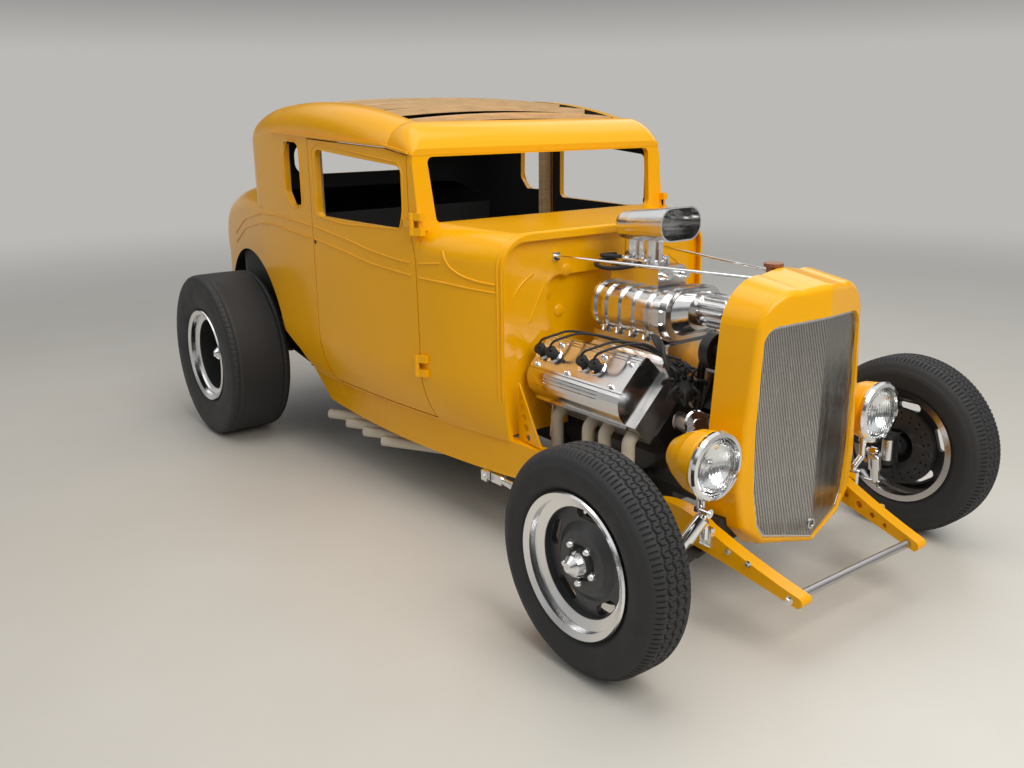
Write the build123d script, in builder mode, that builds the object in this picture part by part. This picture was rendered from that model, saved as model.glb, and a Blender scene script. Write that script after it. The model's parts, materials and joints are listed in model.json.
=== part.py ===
# A hoodless, fenderless steel coupe on ladder rails, with a blown engine open to view.
# Millimetres. +X points forward, +Y to the car's left, +Z up. The floor is z = 0.
# The origin is on the floor, at the middle of the car's length and width.
import math
import os

from build123d import *

os.makedirs("parts", exist_ok=True)

# Driving dimensions
wheelbase = 2692
front_overhang = 360
rear_overhang = 498
fit = 0.05
seat_gap = 0.3
panel_gap = 5
wall = 24

# Wheels and tyres
front_tyre_radius = 322.5
front_tyre_width = 162
front_track_half = 768
front_rim_radius = 190.5
front_rim_width = 140
rear_tyre_radius = 386.5
rear_tyre_width = 290
rear_track_half = 727.5
rear_rim_radius = 203
rear_rim_width = 266
flange_height = 17.5

# Body heights and half widths
sill_z = 385
tuck_z = 600
belt_z = 990
cowl_front_z = 1100
cowl_rear_z = 1125
roof_front_z = 1467
roof_crown_z = 1540
roof_rear_z = 1400
header_z = 1352
sill_top_z = 1098
cowl_front_half = 484
hinge_half = 600
belt_half = 645
tail_half = 508
tuck_depth = 75
cowl_shoulder = 105
deck_shoulder = 95
roof_shoulder = 110
back_corner = 250

length = front_overhang + wheelbase + rear_overhang
front_axle_x = length / 2 - front_overhang
rear_axle_x = front_axle_x - wheelbase
tail_x = rear_axle_x - rear_overhang


def back(distance):
    """The X of a station that lies this far behind the front axle."""
    return front_axle_x - distance


cowl_front_x = back(768)
windshield_x = back(1126)
door_front_x = back(1120)
header_rear_x = back(1281)
door_rear_x = back(1862)
quarter_x = back(2425)
back_x = back(2680)


def keep(name, piece):
    piece.label = name
    export_step(piece, "parts/" + name + ".step")


def mirrored(piece):
    with BuildPart() as other:
        mirror(piece, about=Plane.XZ)
    return other.part


def rod(start, end, radius, bore=0):
    line = Vector(*end) - Vector(*start)
    with BuildPart() as bar:
        with BuildSketch(Plane(origin=start, z_dir=line)):
            Circle(radius)
            if bore:
                Circle(bore, mode=Mode.SUBTRACT)
        extrude(amount=line.length)
    return bar.part


def bent_tube(points, bend, radius, bore=0):
    with BuildPart() as tube:
        with BuildLine() as path:
            FilletPolyline(*points, radius=bend)
        with BuildSketch(Plane(origin=path.line @ 0, z_dir=path.line % 0)):
            Circle(radius)
            if bore:
                Circle(bore, mode=Mode.SUBTRACT)
        sweep(path=path.line)
    return tube.part


def block(low, high):
    size = [abs(b - a) for a, b in zip(low, high)]
    centre = [(a + b) / 2 for a, b in zip(low, high)]
    with BuildPart() as piece:
        with Locations(tuple(centre)):
            Box(*size)
    return piece.part


def turned(points, x, z):
    """A solid of revolution about the wheel's axle line at x, z, from (y, radius) points."""
    with BuildPart() as piece:
        with BuildSketch(Plane(origin=(x, 0, z), x_dir=(0, 1, 0), z_dir=(1, 0, 0))):
            with BuildLine():
                Polyline(*points, close=True)
            make_face()
        revolve(axis=Axis((x, 0, z), (0, 1, 0)))
    return piece.part


side_bow = belt_half - hinge_half
side_radius = ((door_front_x - door_rear_x) ** 2 + side_bow ** 2) / (2 * side_bow)


def side_half(x):
    """The body's half width at the belt, on the long arc from the door's hinge to the quarter."""
    return belt_half - side_radius + math.sqrt(side_radius ** 2 - (x - door_rear_x) ** 2)


# Body shell: the outer solid less the inner one, cut into panels further on
def side_outline(inset, front_x, rear_x, plane, square_back=0, front_tuck=0.0):
    """A plan of the body: curved sides, flat ends. The inset pulls every edge but the front in."""
    with BuildSketch(plane) as outline:
        with BuildLine():
            hinge = (door_front_x, hinge_half - inset)
            arc_end = rear_x if square_back else quarter_x
            quarter = (arc_end, side_half(arc_end) - inset)
            side = ThreePointArc(hinge, (door_rear_x, belt_half - inset), quarter)
            if front_x > door_front_x + 100:
                front = (front_x, cowl_front_half - inset + front_tuck)
                TangentArc(hinge, front, tangent=side.tangent_at(0) * -1)
            else:
                front = (front_x, hinge_half - inset - 2)
                Line(hinge, front)
            tail = quarter
            if not square_back:
                tail = (rear_x, tail_half - inset)
                TangentArc(quarter, tail, tangent=side.tangent_at(1))
            Line(tail, (rear_x, 0))
            Line((front_x, 0), front)
            mirror(about=Plane.XZ)
        make_face()
        if square_back:
            fillet(outline.vertices().group_by(Axis.X)[0], square_back - inset)
    return outline.sketch


def side_prism(points, radius=0):
    """A prism right across the car from a side outline given as (station, height) points."""
    with BuildPart() as prism:
        with BuildSketch(Plane.XZ.offset(-900)) as outline:
            with BuildLine():
                Polyline(*[(back(station), z) for station, z in points], close=True)
            make_face()
            if radius:
                fillet(outline.vertices(), radius)
        extrude(amount=1800)
    return prism.part


# Where the roof panel parts from the sides
roof_line = [(1060, header_z - 8), (1300, 1383), (1862, 1408), (2240, 1420), (2800, 1420)]
above_roof_line = side_prism(roof_line + [(2800, 1700), (1060, 1700)])


def side_edges(part, low_z):
    """Edges of a body piece that run along its two sides and reach above low_z."""
    found = []
    for edge in part.edges():
        box = edge.bounding_box()
        one_side = box.min.Y * box.max.Y > 0 and min(abs(box.min.Y), abs(box.max.Y)) > 350
        if one_side and box.max.X - box.min.X > 5 and box.max.Z > low_z:
            found.append(edge)
    return found


def tub_solids(inset):
    """Cowl, door and deck lengths of the lower body, solid, with all but their ends moved in."""
    through = 30 if inset else 0
    low = sill_z - through
    front_x = cowl_front_x + through
    past_tail = tail_x - 40
    with BuildPart() as tuck:
        for z, share in ((sill_z, 1.0), ((sill_z + tuck_z) / 2, 0.25), (tuck_z, 0.0)):
            depth = tuck_depth * share
            add(side_outline(inset + depth, front_x, past_tail, Plane.XY.offset(z), front_tuck=0.75 * depth))
        loft()
        if inset:
            add(side_outline(inset + tuck_depth, front_x, past_tail, Plane.XY.offset(low),
                             front_tuck=0.75 * tuck_depth))
            extrude(amount=through)
    with BuildPart() as upright:
        add(side_outline(inset, front_x, past_tail, Plane.XY.offset(low)))
        extrude(amount=900)
    with BuildPart() as above:
        add(side_outline(inset, front_x, past_tail, Plane.XY.offset(tuck_z)))
        extrude(amount=900)
    with BuildPart() as profile:
        with BuildSketch(Plane.XZ.offset(-900)):
            with BuildLine():
                deck_start = (quarter_x, 1166 - inset)
                deck_end = (back(3040) + inset / 2, 1095 - inset)
                deck = ThreePointArc(deck_start, (back(2780), 1158 - inset), deck_end)
                bustle_end = (tail_x + 16 + inset, 800)
                TangentArc(deck_end, bustle_end, tangent=deck.tangent_at(1))
                Polyline(bustle_end, (tail_x + inset, low), (front_x, low), (front_x, cowl_front_z - inset),
                         (windshield_x, cowl_rear_z - inset), deck_start)
            make_face()
        extrude(amount=1800)
    with BuildPart() as cowl_length:
        add(above.part)
        add(tuck.part)
        add(profile.part, mode=Mode.INTERSECT)
        split(bisect_by=Plane.YZ.offset(door_front_x))
        fillet(side_edges(cowl_length.part, cowl_front_z - inset - 5), cowl_shoulder - inset)
    with BuildPart() as door_length:
        add(above.part)
        add(tuck.part)
        split(bisect_by=Plane.YZ.offset(door_front_x), keep=Keep.BOTTOM)
        split(bisect_by=Plane.YZ.offset(quarter_x))
        split(bisect_by=Plane.XY.offset(sill_top_z), keep=Keep.BOTTOM)
    with BuildPart() as deck_length:
        add(upright.part)
        add(profile.part, mode=Mode.INTERSECT)
        split(bisect_by=Plane.YZ.offset(quarter_x), keep=Keep.BOTTOM)
        fillet(side_edges(deck_length.part, 700), deck_shoulder - inset)
    return [cowl_length.part, door_length.part, deck_length.part]


header_front_z = header_z - 8 + 39 * (1136 - 1060) / 240
header_end_z = header_z - 8 + 39 * (1281 - 1060) / 240


def greenhouse_solid(inset):
    """The body from the sill of the windows to the roof, solid, behind the header panel."""
    low = sill_top_z
    with BuildPart() as house:
        add(side_outline(inset, back(1060), back_x + inset, Plane.XY.offset(low),
                         square_back=back_corner))
        extrude(amount=900)
        with BuildSketch(Plane.XZ):
            with BuildLine():
                ridge = (back(2200), roof_crown_z - 4 - inset)
                ThreePointArc((header_rear_x, roof_front_z - inset), (back(1780), roof_crown_z - inset), ridge)
                rear_top = (back_x - 40, roof_rear_z - inset)
                ThreePointArc(ridge, (back(2470), roof_crown_z - 42 - inset), rear_top)
                Polyline(rear_top, (back_x - 40, low), (back(1103) - inset, low), (back(1136) - inset, header_front_z),
                         (header_rear_x, header_end_z), (header_rear_x, roof_front_z - inset))
            make_face()
        extrude(amount=900, both=True, mode=Mode.INTERSECT)
        rim = [edge for edge in house.edges() if edge.center().Z > roof_rear_z - inset - 40
               and edge.center().X < header_rear_x - 1 and edge.length > 60]
        fillet(rim, roof_shoulder - inset)
    return house.part


def header_solid(inset):
    """The panel over the windshield: it swells from a tight front edge to the roof's section."""
    low = header_z - 12
    with BuildPart() as header:
        for station, top, corner, step in ((1134 + inset, 1378, 34, 0), (1195, 1450, 80, 0),
                                           (1281, roof_front_z - 0.8, roof_shoulder, 0.8)):
            half = side_half(back(station)) - inset - step
            with BuildSketch(Plane.YZ.offset(back(station))) as section:
                with Locations((0, (low + top - inset) / 2)):
                    Rectangle(2 * half, top - inset - low)
                fillet(section.vertices().group_by(Axis.Y)[-1], corner - inset)
        loft()
        add(above_roof_line, mode=Mode.INTERSECT)
    return header.part


with BuildPart() as body_shell:
    for piece in tub_solids(0) + [greenhouse_solid(0), header_solid(0)]:
        add(piece)
    for piece in tub_solids(wall) + [greenhouse_solid(wall), header_solid(wall)]:
        add(piece, mode=Mode.SUBTRACT)
    # The windshield, the rear window and the open roof
    with BuildSketch(Plane.YZ.offset(back(1170))) as screen:
        with BuildLine():
            Polyline((-523, 1122), (523, 1122), (539, 1350), (-539, 1350), close=True)
        make_face()
        fillet(screen.vertices(), 22)
    extrude(amount=66, mode=Mode.SUBTRACT)
    with BuildSketch(Plane.YZ.offset(back_x - 30)):
        with Locations((0, 1290)):
            RectangleRounded(680, 150, 60)
    extrude(amount=90, mode=Mode.SUBTRACT)
    with BuildSketch(Plane.XY.offset(1430)):
        with Locations(((header_rear_x + back(2190)) / 2 - 4, 0)):
            RectangleRounded(header_rear_x - back(2190) - 8, 2 * 490, 12)
    extrude(amount=300, mode=Mode.SUBTRACT)
    add(side_prism([(1200, 1098), (1800, 1104), (1800, 1366), (1200, 1318)], 30), mode=Mode.SUBTRACT)
    add(side_prism([(1950, 1132), (2052, 1132), (2100, 1185), (2096, 1392), (1950, 1388)], 22), mode=Mode.SUBTRACT)

with BuildPart() as arch_cutter:
    with BuildSketch(Plane.XZ.offset(-900)):
        with Locations((rear_axle_x, 395)):
            Circle(480)
        with BuildLine():
            Polyline(*[(back(d), z) for d, z in ((2040, 300), (2040, 384), (2050, 400), (2125, 495),
                                                 (2233, 550), (2500, 500), (2500, 300))], close=True)
        make_face()
    extrude(amount=1800)
    with Locations((rear_axle_x, 0, 500)):
        Box(1200, 900, 1200, mode=Mode.SUBTRACT)



def door_prism(gap):
    """The door's outline, drawn in from its opening by the gap."""
    low = sill_z + 14 + gap
    return side_prism([(1120 + gap, low), (1130 + gap, 1000), (1158 + gap, 1110), (1162 + gap, 1360 - gap),
                       (1300, 1383 - gap), (1862 - gap, 1408 - gap), (1862 - gap, 620), (1853 - gap, low)])


lid_low_z = 665
lid_half = 415
lid_front = 2762


def lid_box(gap):
    with BuildPart() as box:
        with BuildSketch(Plane.YZ.offset(tail_x - 60)):
            with Locations((0, lid_low_z + 400)):
                RectangleRounded(2 * (lid_half - gap), 800 - 2 * gap, 70)
        extrude(amount=back(lid_front) - gap - tail_x + 60)
    return box.part


hinge_x = back(1120)
hinge_y = hinge_half + 20
hinge_pin = 5
hinge_barrel = 10
knuckle = 13
door_hinges = [(615, 8), (1125, 50)]


def hinge_half_solid(z, landing, moving):
    """One half of an outside hinge: its knuckles and a strap that meets the panel at the landing."""
    spans = [(-knuckle, knuckle)] if moving else [(-3 * knuckle, -knuckle), (knuckle, 3 * knuckle)]
    play = 0.5 if moving else 0
    heading = -1 if moving else 1
    if not moving:
        landing = 4
    with BuildPart() as half:
        for low, high in spans:
            with BuildSketch(Plane.XY.offset(z + low + play)):
                with Locations((hinge_x, -hinge_y)):
                    Circle(hinge_barrel)
                with BuildLine():
                    land, toe = hinge_x + heading * landing, hinge_x + heading * (landing + 34)
                    Polyline((hinge_x, -hinge_y - 5), (hinge_x, -hinge_y + 5), (land, -hinge_y + 8),
                             (land, -hinge_half + 14), (toe, -hinge_half + 14), (toe, -hinge_half - 8),
                             (land, -hinge_y - 3), close=True)
                make_face()
            extrude(amount=high - low - 2 * play)
        if moving:
            with Locations((hinge_x, -hinge_y, z)):
                Cylinder(hinge_pin + fit, 4 * knuckle, mode=Mode.SUBTRACT)
        else:
            with Locations((hinge_x, -hinge_y, z)):
                Cylinder(hinge_pin, 6 * knuckle)
    return half.part


lid_hinge_x = back(lid_front + panel_gap / 2)
lid_hinge_z = 1171
lid_barrel = 8
lid_pin = 4


def lid_hinge_half(y, moving):
    """One half of a deck lid hinge; the body's half holds the pin."""
    spans = [(-11.5, 11.5)] if moving else [(-26, -12), (12, 26)]
    heading = -1 if moving else 1
    with BuildPart() as half:
        for low, high in spans:
            with BuildSketch(Plane.XZ.offset(-y - high)):
                with Locations((lid_hinge_x, lid_hinge_z)):
                    Circle(lid_barrel)
                with BuildLine():
                    Polyline(*[(lid_hinge_x + heading * x, lid_hinge_z + z)
                               for x, z in ((0, 4), (36, -8), (36, -20), (6, -18), (3, -7))], close=True)
                make_face()
            extrude(amount=high - low)
        if moving:
            add(rod((lid_hinge_x, y - 30, lid_hinge_z), (lid_hinge_x, y + 30, lid_hinge_z), lid_pin + fit),
                mode=Mode.SUBTRACT)
        else:
            add(rod((lid_hinge_x, y - 26, lid_hinge_z), (lid_hinge_x, y + 26, lid_hinge_z), lid_pin))
    return half.part


with BuildPart() as cowl:
    add(body_shell.part)
    split(bisect_by=Plane.YZ.offset(back(1240)))
    add(above_roof_line, mode=Mode.SUBTRACT)
    add(door_prism(0), mode=Mode.SUBTRACT)
    add(side_prism([(1120, 200), (1120, sill_z + 14), (1260, sill_z + 14), (1260, 200)]), mode=Mode.SUBTRACT)
    for height, landing in door_hinges:
        leaf = hinge_half_solid(height, landing, False)
        add(leaf)
        mirror(leaf, about=Plane.XZ)
    keep("cowl", cowl.part)

with BuildPart() as door_right:
    add(body_shell.part)
    add(door_prism(panel_gap), mode=Mode.INTERSECT)
    split(bisect_by=Plane.XZ.offset(450))
    for height, landing in door_hinges:
        add(hinge_half_solid(height, landing, True))

with BuildPart() as roof:
    add(body_shell.part)
    add(above_roof_line, mode=Mode.INTERSECT)

with BuildPart() as rear_body:
    add(body_shell.part)
    split(bisect_by=Plane.YZ.offset(door_rear_x), keep=Keep.BOTTOM)
    add(above_roof_line, mode=Mode.SUBTRACT)
    add(arch_cutter.part, mode=Mode.SUBTRACT)
    add(lid_box(0), mode=Mode.SUBTRACT)
    for y in (-250, 250):
        add(lid_hinge_half(y, False))

with BuildPart() as deck_lid:
    add(body_shell.part)
    add(lid_box(panel_gap), mode=Mode.INTERSECT)
    for y in (-250, 250):
        add(lid_hinge_half(y, True))

with BuildPart() as sills:
    add(body_shell.part)
    split(bisect_by=Plane.XY.offset(sill_z + 14), keep=Keep.BOTTOM)
    split(bisect_by=Plane.YZ.offset(back(1120)), keep=Keep.BOTTOM)
    split(bisect_by=Plane.YZ.offset(door_rear_x))
    keep("sills", sills.part)
keep("rear_body", rear_body.part)
keep("deck_lid", deck_lid.part)
keep("door_right", door_right.part)
keep("door_left", mirrored(door_right.part))

# Frame: two boxed rails with curled horns, and the members between them
rail_width = 46
rail_top_z = sill_z - seat_gap
rail_floor_z = 250
kick_z = 560
rail_end_x = back(3155)


def rail_edge(shift):
    """The rail's plan, front to rear, moved in by the shift."""
    nose = Line((back(-360), 312 - shift), (back(620), 424 - shift))
    flare = ThreePointArc(nose @ 1, (back(980), 497 - shift), (back(1420), 538 - shift))
    sweep_in = ThreePointArc(flare @ 1, (back(1740), 536 - shift), (back(2080), 512 - shift))
    Line(sweep_in @ 1, (rail_end_x, 462 - shift))


with BuildPart() as rail_slab:
    with BuildSketch():
        with BuildLine():
            rail_edge(0)
            rail_edge(rail_width)
            Line((back(-360), 312), (back(-360), 312 - rail_width))
            Line((rail_end_x, 462), (rail_end_x, 462 - rail_width))
        make_face()
    extrude(amount=800)

with BuildPart() as rail_left:
    add(rail_slab.part)
    with BuildSketch(Plane.XZ.offset(-900)):
        with BuildLine():
            crest = ThreePointArc((back(180), 336), (back(40), 343), (back(-38), 308))
            horn = ThreePointArc(crest @ 1, (back(-180), 252), (back(-349), 199))
            tip = ThreePointArc(horn @ 1, (back(-360), 184), (back(-345), 166))
            belly = ThreePointArc(tip @ 1, (back(-160), 209), (back(40), 249))
            Polyline(belly @ 1, (back(600), rail_floor_z), (back(2060), rail_floor_z), (back(2330), 420),
                     (back(2480), kick_z - 85), (back(2880), kick_z - 85), (back(3060), 375),
                     (rail_end_x, 375), (rail_end_x, 440), (back(3040), 450), (back(2900), kick_z),
                     (back(2440), kick_z), (back(2230), rail_top_z), (back(768), rail_top_z), (back(180), 336))
        make_face()
    extrude(amount=1800, mode=Mode.INTERSECT)
    for station, radius in ((-70, 15), (-128, 12), (-182, 9.5), (-232, 7.5)):
        height = 268 - 0.34 * (-station - 60)
        inner_y = 312 - rail_width + (360 + station) * 112 / 980
        with BuildSketch(Plane(origin=(back(station), inner_y - 10, height), z_dir=(0, 1, 0))):
            Circle(radius)
        extrude(amount=28, mode=Mode.SUBTRACT)
    with BuildSketch(Plane(origin=(back(-322), 200, 184), z_dir=(0, 1, 0))):
        Circle(6.5)
    extrude(amount=300, mode=Mode.SUBTRACT)
with BuildPart() as frame_rails:
    add(rail_left.part)
    mirror(about=Plane.XZ)
keep("frame_rails", frame_rails.part)

with BuildPart() as crossmembers:
    for station, depth, low, high in ((0, 96, 272, 326), (1330, 80, 262, 318), (2110, 70, 262, 318),
                                      (2960, 60, kick_z - 75, kick_z - 20), (3120, 50, 385, 435)):
        add(block((back(station + depth / 2), -530, low), (back(station - depth / 2), 530, high)))
    with BuildSketch(Plane.XY.offset(275)):
        with BuildLine():
            Polyline((back(760), 440), (back(820), 465), (back(1310), 150), (back(1290), 105), close=True)
        make_face()
        mirror(about=Plane.XZ)
        with BuildLine():
            Polyline((back(2100), 490), (back(2050), 500), (back(1350), 150), (back(1370), 105), close=True)
        make_face()
        mirror(about=Plane.XZ)
    extrude(amount=45)
    with BuildSketch():
        with BuildLine():
            rail_edge(rail_width)
            Line((back(-360), 312 - rail_width), (back(-360), 0))
            Line((rail_end_x, 462 - rail_width), (rail_end_x, 0))
            mirror(about=Plane.XZ)
        make_face()
    extrude(amount=800, mode=Mode.INTERSECT)
with BuildPart() as spreader_bar:
    add(rod((back(-322), rail_width - 314.6, 184), (back(-322), 314.6 - rail_width, 184), 13))
keep("crossmembers", crossmembers.part)
keep("spreader_bar", spreader_bar.part)

# Front axle: a drilled, dropped I-beam between two kingpins
kingpin_y = 648
kingpin_radius = 10
spindle_z = front_tyre_radius
axle_drop_z = 150
beam_height = 52
beam_half_width = 28
damper_foot_y = 520
damper_foot_z = 240


def axle_band(height, plane):
    """The beam's shape seen from the front, this tall across its run."""
    with BuildSketch(plane) as band:
        with BuildLine():
            FilletPolyline((-kingpin_y, spindle_z + 4), (-572, spindle_z - 22), (-430, axle_drop_z),
                           (430, axle_drop_z), (572, spindle_z - 22), (kingpin_y, spindle_z + 4), radius=70)
        trace(line_width=height)
    return band.sketch


with BuildPart() as front_axle:
    add(axle_band(beam_height, Plane.YZ.offset(front_axle_x - beam_half_width)))
    extrude(amount=2 * beam_half_width)
    for plane_x in (front_axle_x - beam_half_width, front_axle_x + 5):
        add(axle_band(beam_height - 20, Plane.YZ.offset(plane_x)))
        extrude(amount=beam_half_width - 5, mode=Mode.SUBTRACT)
    with BuildSketch(Plane.YZ.offset(front_axle_x - 8)):
        with Locations(*[(36 * n, axle_drop_z) for n in range(-10, 11)]):
            Circle(11)
    extrude(amount=16, mode=Mode.SUBTRACT)
    for side in (-1, 1):
        with Locations((front_axle_x, side * kingpin_y, spindle_z)):
            Cylinder(22, 76)
            Cylinder(kingpin_radius + fit, 90, mode=Mode.SUBTRACT)
        pin_y = side * damper_foot_y
        add(rod((front_axle_x - 4, pin_y, damper_foot_z), (front_axle_x + 56, pin_y, damper_foot_z), 6.8))
        add(rod((front_axle_x + 55, pin_y, damper_foot_z), (front_axle_x + 61, pin_y, damper_foot_z), 11))
keep("front_axle", front_axle.part)

# Wheels: the right side is drawn at negative Y and mirrored
spindle_radius = 15
front_hub_face_y = 775
rear_hub_face_y = 735


tyre_flats = 64


def tyre_ring(centre_y, x, radius, width, tread_half, shoulder, rim_radius, rim_width):
    """A tyre on its rim, in flats: bead, widest bulge and round shoulder each side, then the flat tread."""
    collar = rim_radius + flange_height + 2
    outline = [(rim_width / 2 - 10, collar), (width / 2, (collar + radius) / 2), shoulder, (tread_half, radius)]
    with BuildPart() as tyre:
        for y, reach in [(-y, reach) for y, reach in outline] + outline[::-1]:
            with BuildSketch(Plane(origin=(x, centre_y + y, radius), x_dir=(1, 0, 0), z_dir=(0, 1, 0))):
                RegularPolygon(reach, tyre_flats, major_radius=False, rotation=180 / tyre_flats)
        loft(ruled=True)
        with BuildSketch(Plane(origin=(x, centre_y - width, radius), x_dir=(1, 0, 0), z_dir=(0, 1, 0))):
            RegularPolygon(rim_radius + 1.3, tyre_flats, major_radius=False, rotation=180 / tyre_flats)
        extrude(amount=2 * width, mode=Mode.SUBTRACT)
    return tyre.part


def rim_barrel(outer_y, x, radius, rim_radius, rim_width):
    """The rim's rolled section, from the outer flange at outer_y inward."""
    flange = rim_radius + flange_height
    inner_y = outer_y + rim_width
    well = rim_radius - 30
    skin = 5
    points = [(outer_y - 4, flange - 4), (outer_y + 2, flange), (outer_y + 6, flange - 4), (outer_y + 7, rim_radius + 1),
              (outer_y + 30, rim_radius), (outer_y + 42, well), (inner_y - 60, well), (inner_y - 40, rim_radius),
              (inner_y - 7, rim_radius + 1), (inner_y - 6, flange - 2), (inner_y, flange - 2),
              (inner_y + 1, rim_radius - 1 - skin), (inner_y - 42, rim_radius - skin), (inner_y - 62, well - skin),
              (outer_y + 38, well - skin), (outer_y + 26, rim_radius - skin), (outer_y + 4, rim_radius - skin)]
    return turned(points, x, radius)


def slotted_wheel(outer_y, x, radius, rim_radius, rim_width, hub_face_y, window):
    """A cast wheel: rim, dished centre with five windows, raised hub and a closed nose."""
    well = rim_radius - 32
    plate_y = -hub_face_y - 12
    with BuildPart() as wheel:
        add(rim_barrel(outer_y, x, radius, rim_radius, rim_width))
        add(turned([(-hub_face_y, 36), (-hub_face_y, 84), (plate_y + 22, 104), (plate_y + 22, well),
                    (plate_y + 4, well), (plate_y + 4, 112), (plate_y - 14, 88), (plate_y - 16, 52),
                    (plate_y - 10, 44), (plate_y - 34, 36), (plate_y - 50, 30), (plate_y - 66, 14),
                    (plate_y - 68, 0), (plate_y - 60, 0), (plate_y - 50, 22), (plate_y - 30, 30),
                    (plate_y - 8, 36)], x, radius))
        with BuildSketch(Plane(origin=(x, -300, radius), x_dir=(1, 0, 0), z_dir=(0, -1, 0))):
            with PolarLocations(0, 5, start_angle=90):
                with Locations((well - 24, 0)):
                    SlotOverall(window, 30, rotation=90)
        extrude(amount=800, mode=Mode.SUBTRACT)
    return wheel.part


front_rim_y = -front_track_half - front_rim_width / 2 - 2
rear_rim_y = -rear_track_half - rear_rim_width / 2 + 1
tyre_front = tyre_ring(-front_track_half, front_axle_x, front_tyre_radius, front_tyre_width, 46, (66, 304),
                       front_rim_radius, front_rim_width)
tyre_rear = tyre_ring(-rear_track_half, rear_axle_x, rear_tyre_radius, rear_tyre_width, 120, (139, 371),
                      rear_rim_radius, rear_rim_width)
wheel_front = slotted_wheel(front_rim_y, front_axle_x, front_tyre_radius, front_rim_radius, front_rim_width,
                            front_hub_face_y, 84)
wheel_rear = slotted_wheel(rear_rim_y, rear_axle_x, rear_tyre_radius, rear_rim_radius, rear_rim_width,
                           rear_hub_face_y, 84)

# The front hub and brake disc turn with the wheel on the spindle
rotor_y = -716
rotor_radius = 140
with BuildPart() as rotor:
    add(turned([(-front_hub_face_y + 10, spindle_radius + fit), (-front_hub_face_y + 10, 70),
                (rotor_y - 12, 78), (rotor_y - 12, 92), (rotor_y - 11, 92), (rotor_y - 11, rotor_radius),
                (rotor_y + 11, rotor_radius), (rotor_y + 11, 62), (-front_hub_face_y + 18, 62),
                (-front_hub_face_y + 18, 34), (-698, 34), (-698, spindle_radius + fit)], front_axle_x, front_tyre_radius))
    with BuildSketch(Plane(origin=(front_axle_x, -front_hub_face_y + 10, front_tyre_radius), x_dir=(1, 0, 0),
                           z_dir=(0, -1, 0))):
        Circle(70)
        Circle(spindle_radius + fit, mode=Mode.SUBTRACT)
    extrude(amount=9.7)
    with BuildSketch(Plane(origin=(front_axle_x, -600, front_tyre_radius), x_dir=(1, 0, 0), z_dir=(0, -1, 0))):
        for ring, count in ((104, 20), (124, 20)):
            with PolarLocations(ring, count, start_angle=ring):
                Circle(4)
    extrude(amount=200, mode=Mode.SUBTRACT)

keep("brake_rotor_right", rotor.part)
keep("brake_rotor_left", mirrored(rotor.part))
keep("front_tyre_right", tyre_front)
keep("front_tyre_left", mirrored(tyre_front))
keep("front_wheel_right", wheel_front)
keep("front_wheel_left", mirrored(wheel_front))
keep("rear_tyre_right", tyre_rear)
keep("rear_tyre_left", mirrored(tyre_rear))
keep("rear_wheel_right", wheel_rear)
keep("rear_wheel_left", mirrored(wheel_rear))

# Steering knuckle with its kingpin, spindle, arm and brake caliper
arm_reach = 125
arm_pin_y = 600
arm_z = 234
ear_gap = 1
with BuildPart() as knuckle_right:
    with Locations((front_axle_x, -kingpin_y, spindle_z)):
        Cylinder(kingpin_radius, 120)
    for ear_z in (spindle_z + 38 + ear_gap + 8, spindle_z - 38 - ear_gap - 8):
        with BuildSketch(Plane.XY.offset(ear_z - 8)):
            with Locations((front_axle_x, -kingpin_y)):
                Circle(22)
            with Locations((front_axle_x, -kingpin_y - 17)):
                Rectangle(36, 34)
        extrude(amount=16)
    add(block((front_axle_x - 20, -kingpin_y - 38, spindle_z - 55), (front_axle_x + 20, -kingpin_y - 23, spindle_z + 55)))
    add(rod((front_axle_x, -kingpin_y - 30, spindle_z), (front_axle_x, -kingpin_y - 47, spindle_z), 27))
    add(rod((front_axle_x, -kingpin_y - 30, spindle_z), (front_axle_x, -front_hub_face_y + 4, spindle_z), spindle_radius))
    add(block((front_axle_x - 86, -kingpin_y - 36, spindle_z + 10), (front_axle_x - 10, -kingpin_y - 25, spindle_z + 44)))
    add(block((front_axle_x - 160, -kingpin_y - 36, spindle_z - 22), (front_axle_x - 76, -kingpin_y - 25, spindle_z + 48)))
    with BuildSketch(Plane.XY.offset(arm_z)):
        with BuildLine():
            Polyline((front_axle_x + 12, -kingpin_y + 4), (front_axle_x - arm_reach, -arm_pin_y + 12),
                     (front_axle_x - arm_reach, -arm_pin_y - 12), (front_axle_x - 12, -kingpin_y - 34),
                     (front_axle_x + 12, -kingpin_y - 34), close=True)
        make_face()
        with Locations((front_axle_x - arm_reach, -arm_pin_y)):
            Circle(16)
    extrude(amount=16)
    add(block((front_axle_x - 16, -kingpin_y - 36, arm_z), (front_axle_x + 16, -kingpin_y - 20, spindle_z - 40)))
knuckle_face_y = -kingpin_y - 36
with BuildPart() as caliper:
    with BuildSketch(Plane(origin=(front_axle_x, rotor_y - 27, front_tyre_radius), x_dir=(1, 0, 0), z_dir=(0, 1, 0))):
        with BuildLine():
            CenterArc((0, 0), 162, 150, 56)
            CenterArc((0, 0), 98, 150, 56)
            for angle in (150, 206):
                Line(PolarLine((0, 0), 98, angle, mode=Mode.PRIVATE) @ 1, PolarLine((0, 0), 162, angle, mode=Mode.PRIVATE) @ 1)
        make_face()
    extrude(amount=knuckle_face_y - seat_gap - (rotor_y - 27))
    add(turned([(rotor_y - 15, 20), (rotor_y - 15, rotor_radius + 5), (rotor_y + 15, rotor_radius + 5), (rotor_y + 15, 20)],
               front_axle_x, front_tyre_radius), mode=Mode.SUBTRACT)
keep("brake_caliper_right", caliper.part)
keep("brake_caliper_left", mirrored(caliper.part))
keep("knuckle_right", knuckle_right.part)
keep("knuckle_left", mirrored(knuckle_right.part))

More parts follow.
